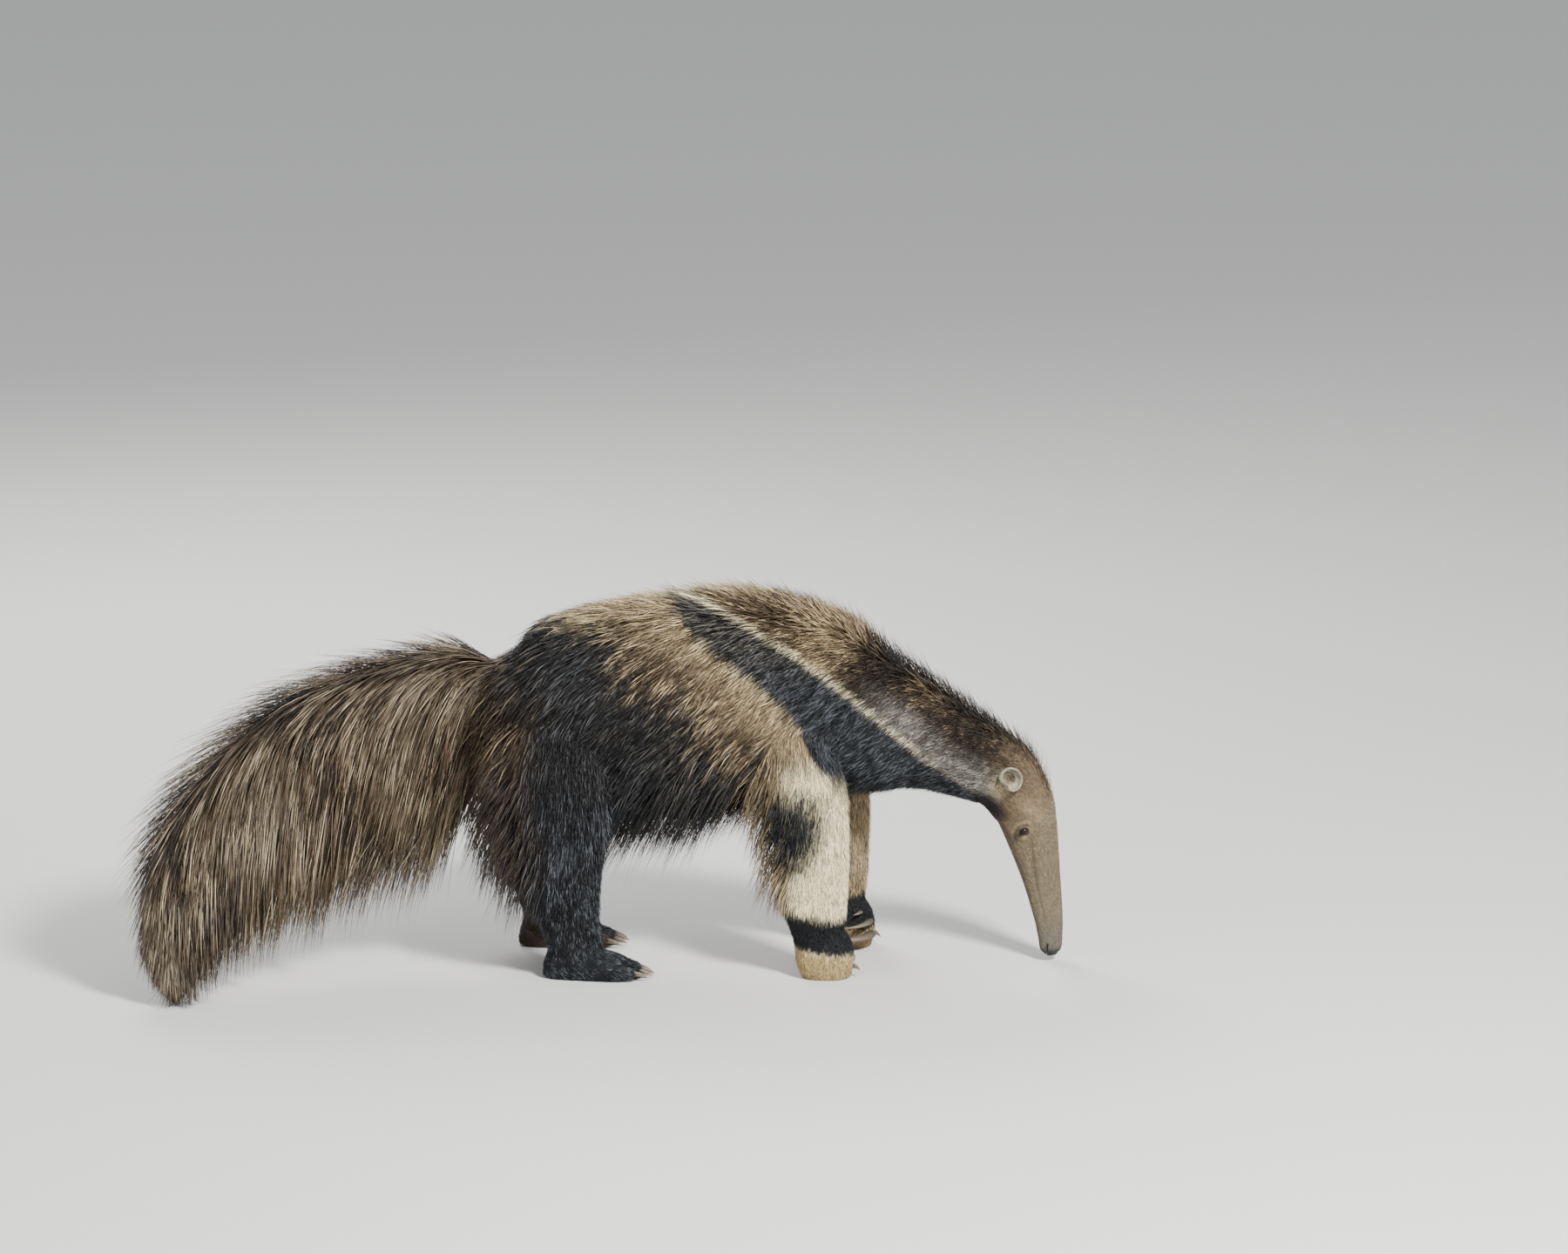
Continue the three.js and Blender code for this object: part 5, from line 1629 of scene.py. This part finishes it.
def claw_material():
    made, n, shader = new_material("claw", 0.48, 0.35)
    place = n.add("ShaderNodeTexCoord").outputs["Object"]
    grain = n.add("ShaderNodeTexNoise", {"Vector": place, "Scale": 260.0, "Detail": 5.0}).outputs[0]
    mixed = n.math("ADD", attribute(n, "tipward"), n.math("MULTIPLY_ADD", grain, 0.6, -0.3))
    colour = colour_ramp(n, mixed, (0.05, HORN_DARK), (0.95, HORN_PALE))
    n.feed(shader.inputs["Base Color"], colour)
    bump = n.add("ShaderNodeBump", {"Strength": 0.3, "Distance": 0.0005, "Height": grain})
    n.feed(shader.inputs["Normal"], bump.outputs[0])
    return made


print("claws on each foot:", len(FORE_CLAWS), "in front and", TOES["count"], "behind")

# %% [markdown]
# Each side gets its eye and its claws. The claws move with the step of their leg, and the right
# ones mirror the left ones.

# %% Eyes and claws
eye_stuff, claw_stuff = eye_material(), claw_material()
pieces = []
for name, side in SIDES.items():
    eye = eyeball(name, side)
    eye.data.materials.append(eye_stuff)
    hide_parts(f"eye_{name}")
    pieces.append((eye, "eye_dark"))

    rows = []
    for (x, y, z), aim, hook, *sizes in FORE_CLAWS.values():
        mirrored = [np.array(v) * [1, side, 1] for v in (aim, hook)]
        rows.append([(x + STEP_AHEAD[name], y * side, z), *mirrored, *sizes])
    front = claws(f"foreclaws_{name}", rows)
    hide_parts(*[f"foreclaw_{one}_{name}" for one in FORE_CLAWS])

    rows = []
    for number in range(TOES["count"]):
        (x, y, z), spread = hind_toe(number, name)
        at = np.array([x, y, z]) / MM + [HIND_CLAW["ahead"], 0, 0]
        ahead = (1, HIND_CLAW["splay"] * spread, 0.1)
        rows.append([at, ahead, (0, 0, -1), *(HIND_CLAW[size] for size in ("length", "bend", "thick"))])
    rear = claws(f"hindclaws_{name}", rows)
    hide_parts(*[f"hindclaw_{number + 1}_{name}" for number in range(TOES["count"])])
    for claw in (front, rear):
        claw.data.materials.append(claw_stuff)
        pieces.append((claw, "claw_horn"))
print("eyes and claws:", len(pieces))

# %% [markdown]
# ## Finish the skin
#
# The skin stands for all the solids of flesh. It keeps the markings as an attribute on its
# points, and the attributes that only the coat needed go away.

# %% The skin's colours and the pieces' bodies
for old in [a.name for a in skin.data.attributes if a.name in set(HELPERS) - {"fur", "short", "SkinMap"}]:
    skin.data.attributes.remove(skin.data.attributes[old])
write_attribute(skin.data, "marking", np.column_stack([shade, np.ones(len(shade))]), "FLOAT_COLOR")
skin.data.materials.clear()
skin.data.materials.append(skin_stuff)
flesh = ["head", "neck", "torso", "tail_base", "tail_middle", "tail_end"]
limbs = ["foreleg", "forefoot", "hindleg", "hindfoot", "ear"]
flesh += [f"{part}_{name}" for part in limbs for name in SIDES]
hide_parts(*flesh)
pieces.append((skin, "body_coat"))
for name, made in coats.items():
    part = PIECES[name][0]
    pieces.append((made, "tail_coat" if part.startswith("tail") else SLOTS.get(part, "body_coat")))
for made, slot in pieces:
    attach(made, "root")
print("pieces:", len(pieces))

# %% [markdown]
# ## Floor, light and camera
#
# A pale floor reaches far behind the animal. Large soft lights act like a studio's: one from
# the upper front, a weaker one from the other side, and one from behind that lifts the edge of
# the coat.

# %% Floor and light
floor = mesh_object("floor", [(-40, -40, 0), (40, -40, 0), (40, 40, 0), (-40, 40, 0)], [(0, 1, 2, 3)])
paper = new_material("paper", 0.9, 0.1, Base_Color=(0.56, 0.55, 0.53, 1))[0]
floor.data.materials.append(paper)

LIGHTS = {
    # name: where it is, how wide, its power in watts
    "key": ((2.4, -3.4, 3.8), 0.9, 720),
    "fill": ((-3.2, -3.4, 1.8), 2.6, 80),
    "rim": ((-1.2, 3.2, 3.0), 2.0, 180),
}
LOOK_AT = np.array([0.0, 0.0, 0.3])


def aim(made, place, target):
    """Puts a light or camera at a place, turned to the target."""
    backwards = unit(np.array(place) - np.array(target))
    right = unit(np.cross(UP, backwards))
    turn = np.stack([right, np.cross(backwards, right), backwards], -1)
    matrix = np.eye(4)
    matrix[:3, :3], matrix[:3, 3] = turn, place
    made.matrix_world = Matrix(matrix.tolist())
    bpy.context.scene.collection.objects.link(made)


for name, (place, size, power) in LIGHTS.items():
    lamp = bpy.data.lights.new(name, "AREA")
    lamp.size = size
    lamp.energy = power
    aim(bpy.data.objects.new(name, lamp), place, LOOK_AT)
world = bpy.data.worlds.new("studio")
world.use_nodes = True
sky = world.node_tree.nodes["Background"].inputs
sky["Color"].default_value = (0.93, 0.96, 1.0, 1)
sky["Strength"].default_value = 0.75
bpy.context.scene.world = world
print("lights:", ", ".join(LIGHTS))

# %% [markdown]
# A long lens from far away draws the legs on both sides nearly as large as each other, the way the
# photograph does. The camera looks down by 12 degrees.

# %% Camera
VIEW = {"away": 12.0, "height": math.radians(12), "frame_wide": 2.535, "middle": (296, 0, 556)}
camera = bpy.data.cameras.new("camera")
camera.sensor_width = 36
camera.lens = 36 * VIEW["away"] / VIEW["frame_wide"]
camera.clip_end = 200
middle = np.array(VIEW["middle"]) * MM + origin
back_off = np.array([0, -math.cos(VIEW["height"]), math.sin(VIEW["height"])]) * VIEW["away"]
seen_from = bpy.data.objects.new("camera", camera)
aim(seen_from, middle + back_off, middle)
bpy.context.scene.camera = seen_from
print("the camera is at", np.round(middle + back_off, 2))

# %% [markdown]
# Last, the scene is brought up to date.

# %% The end
bpy.context.view_layer.update()
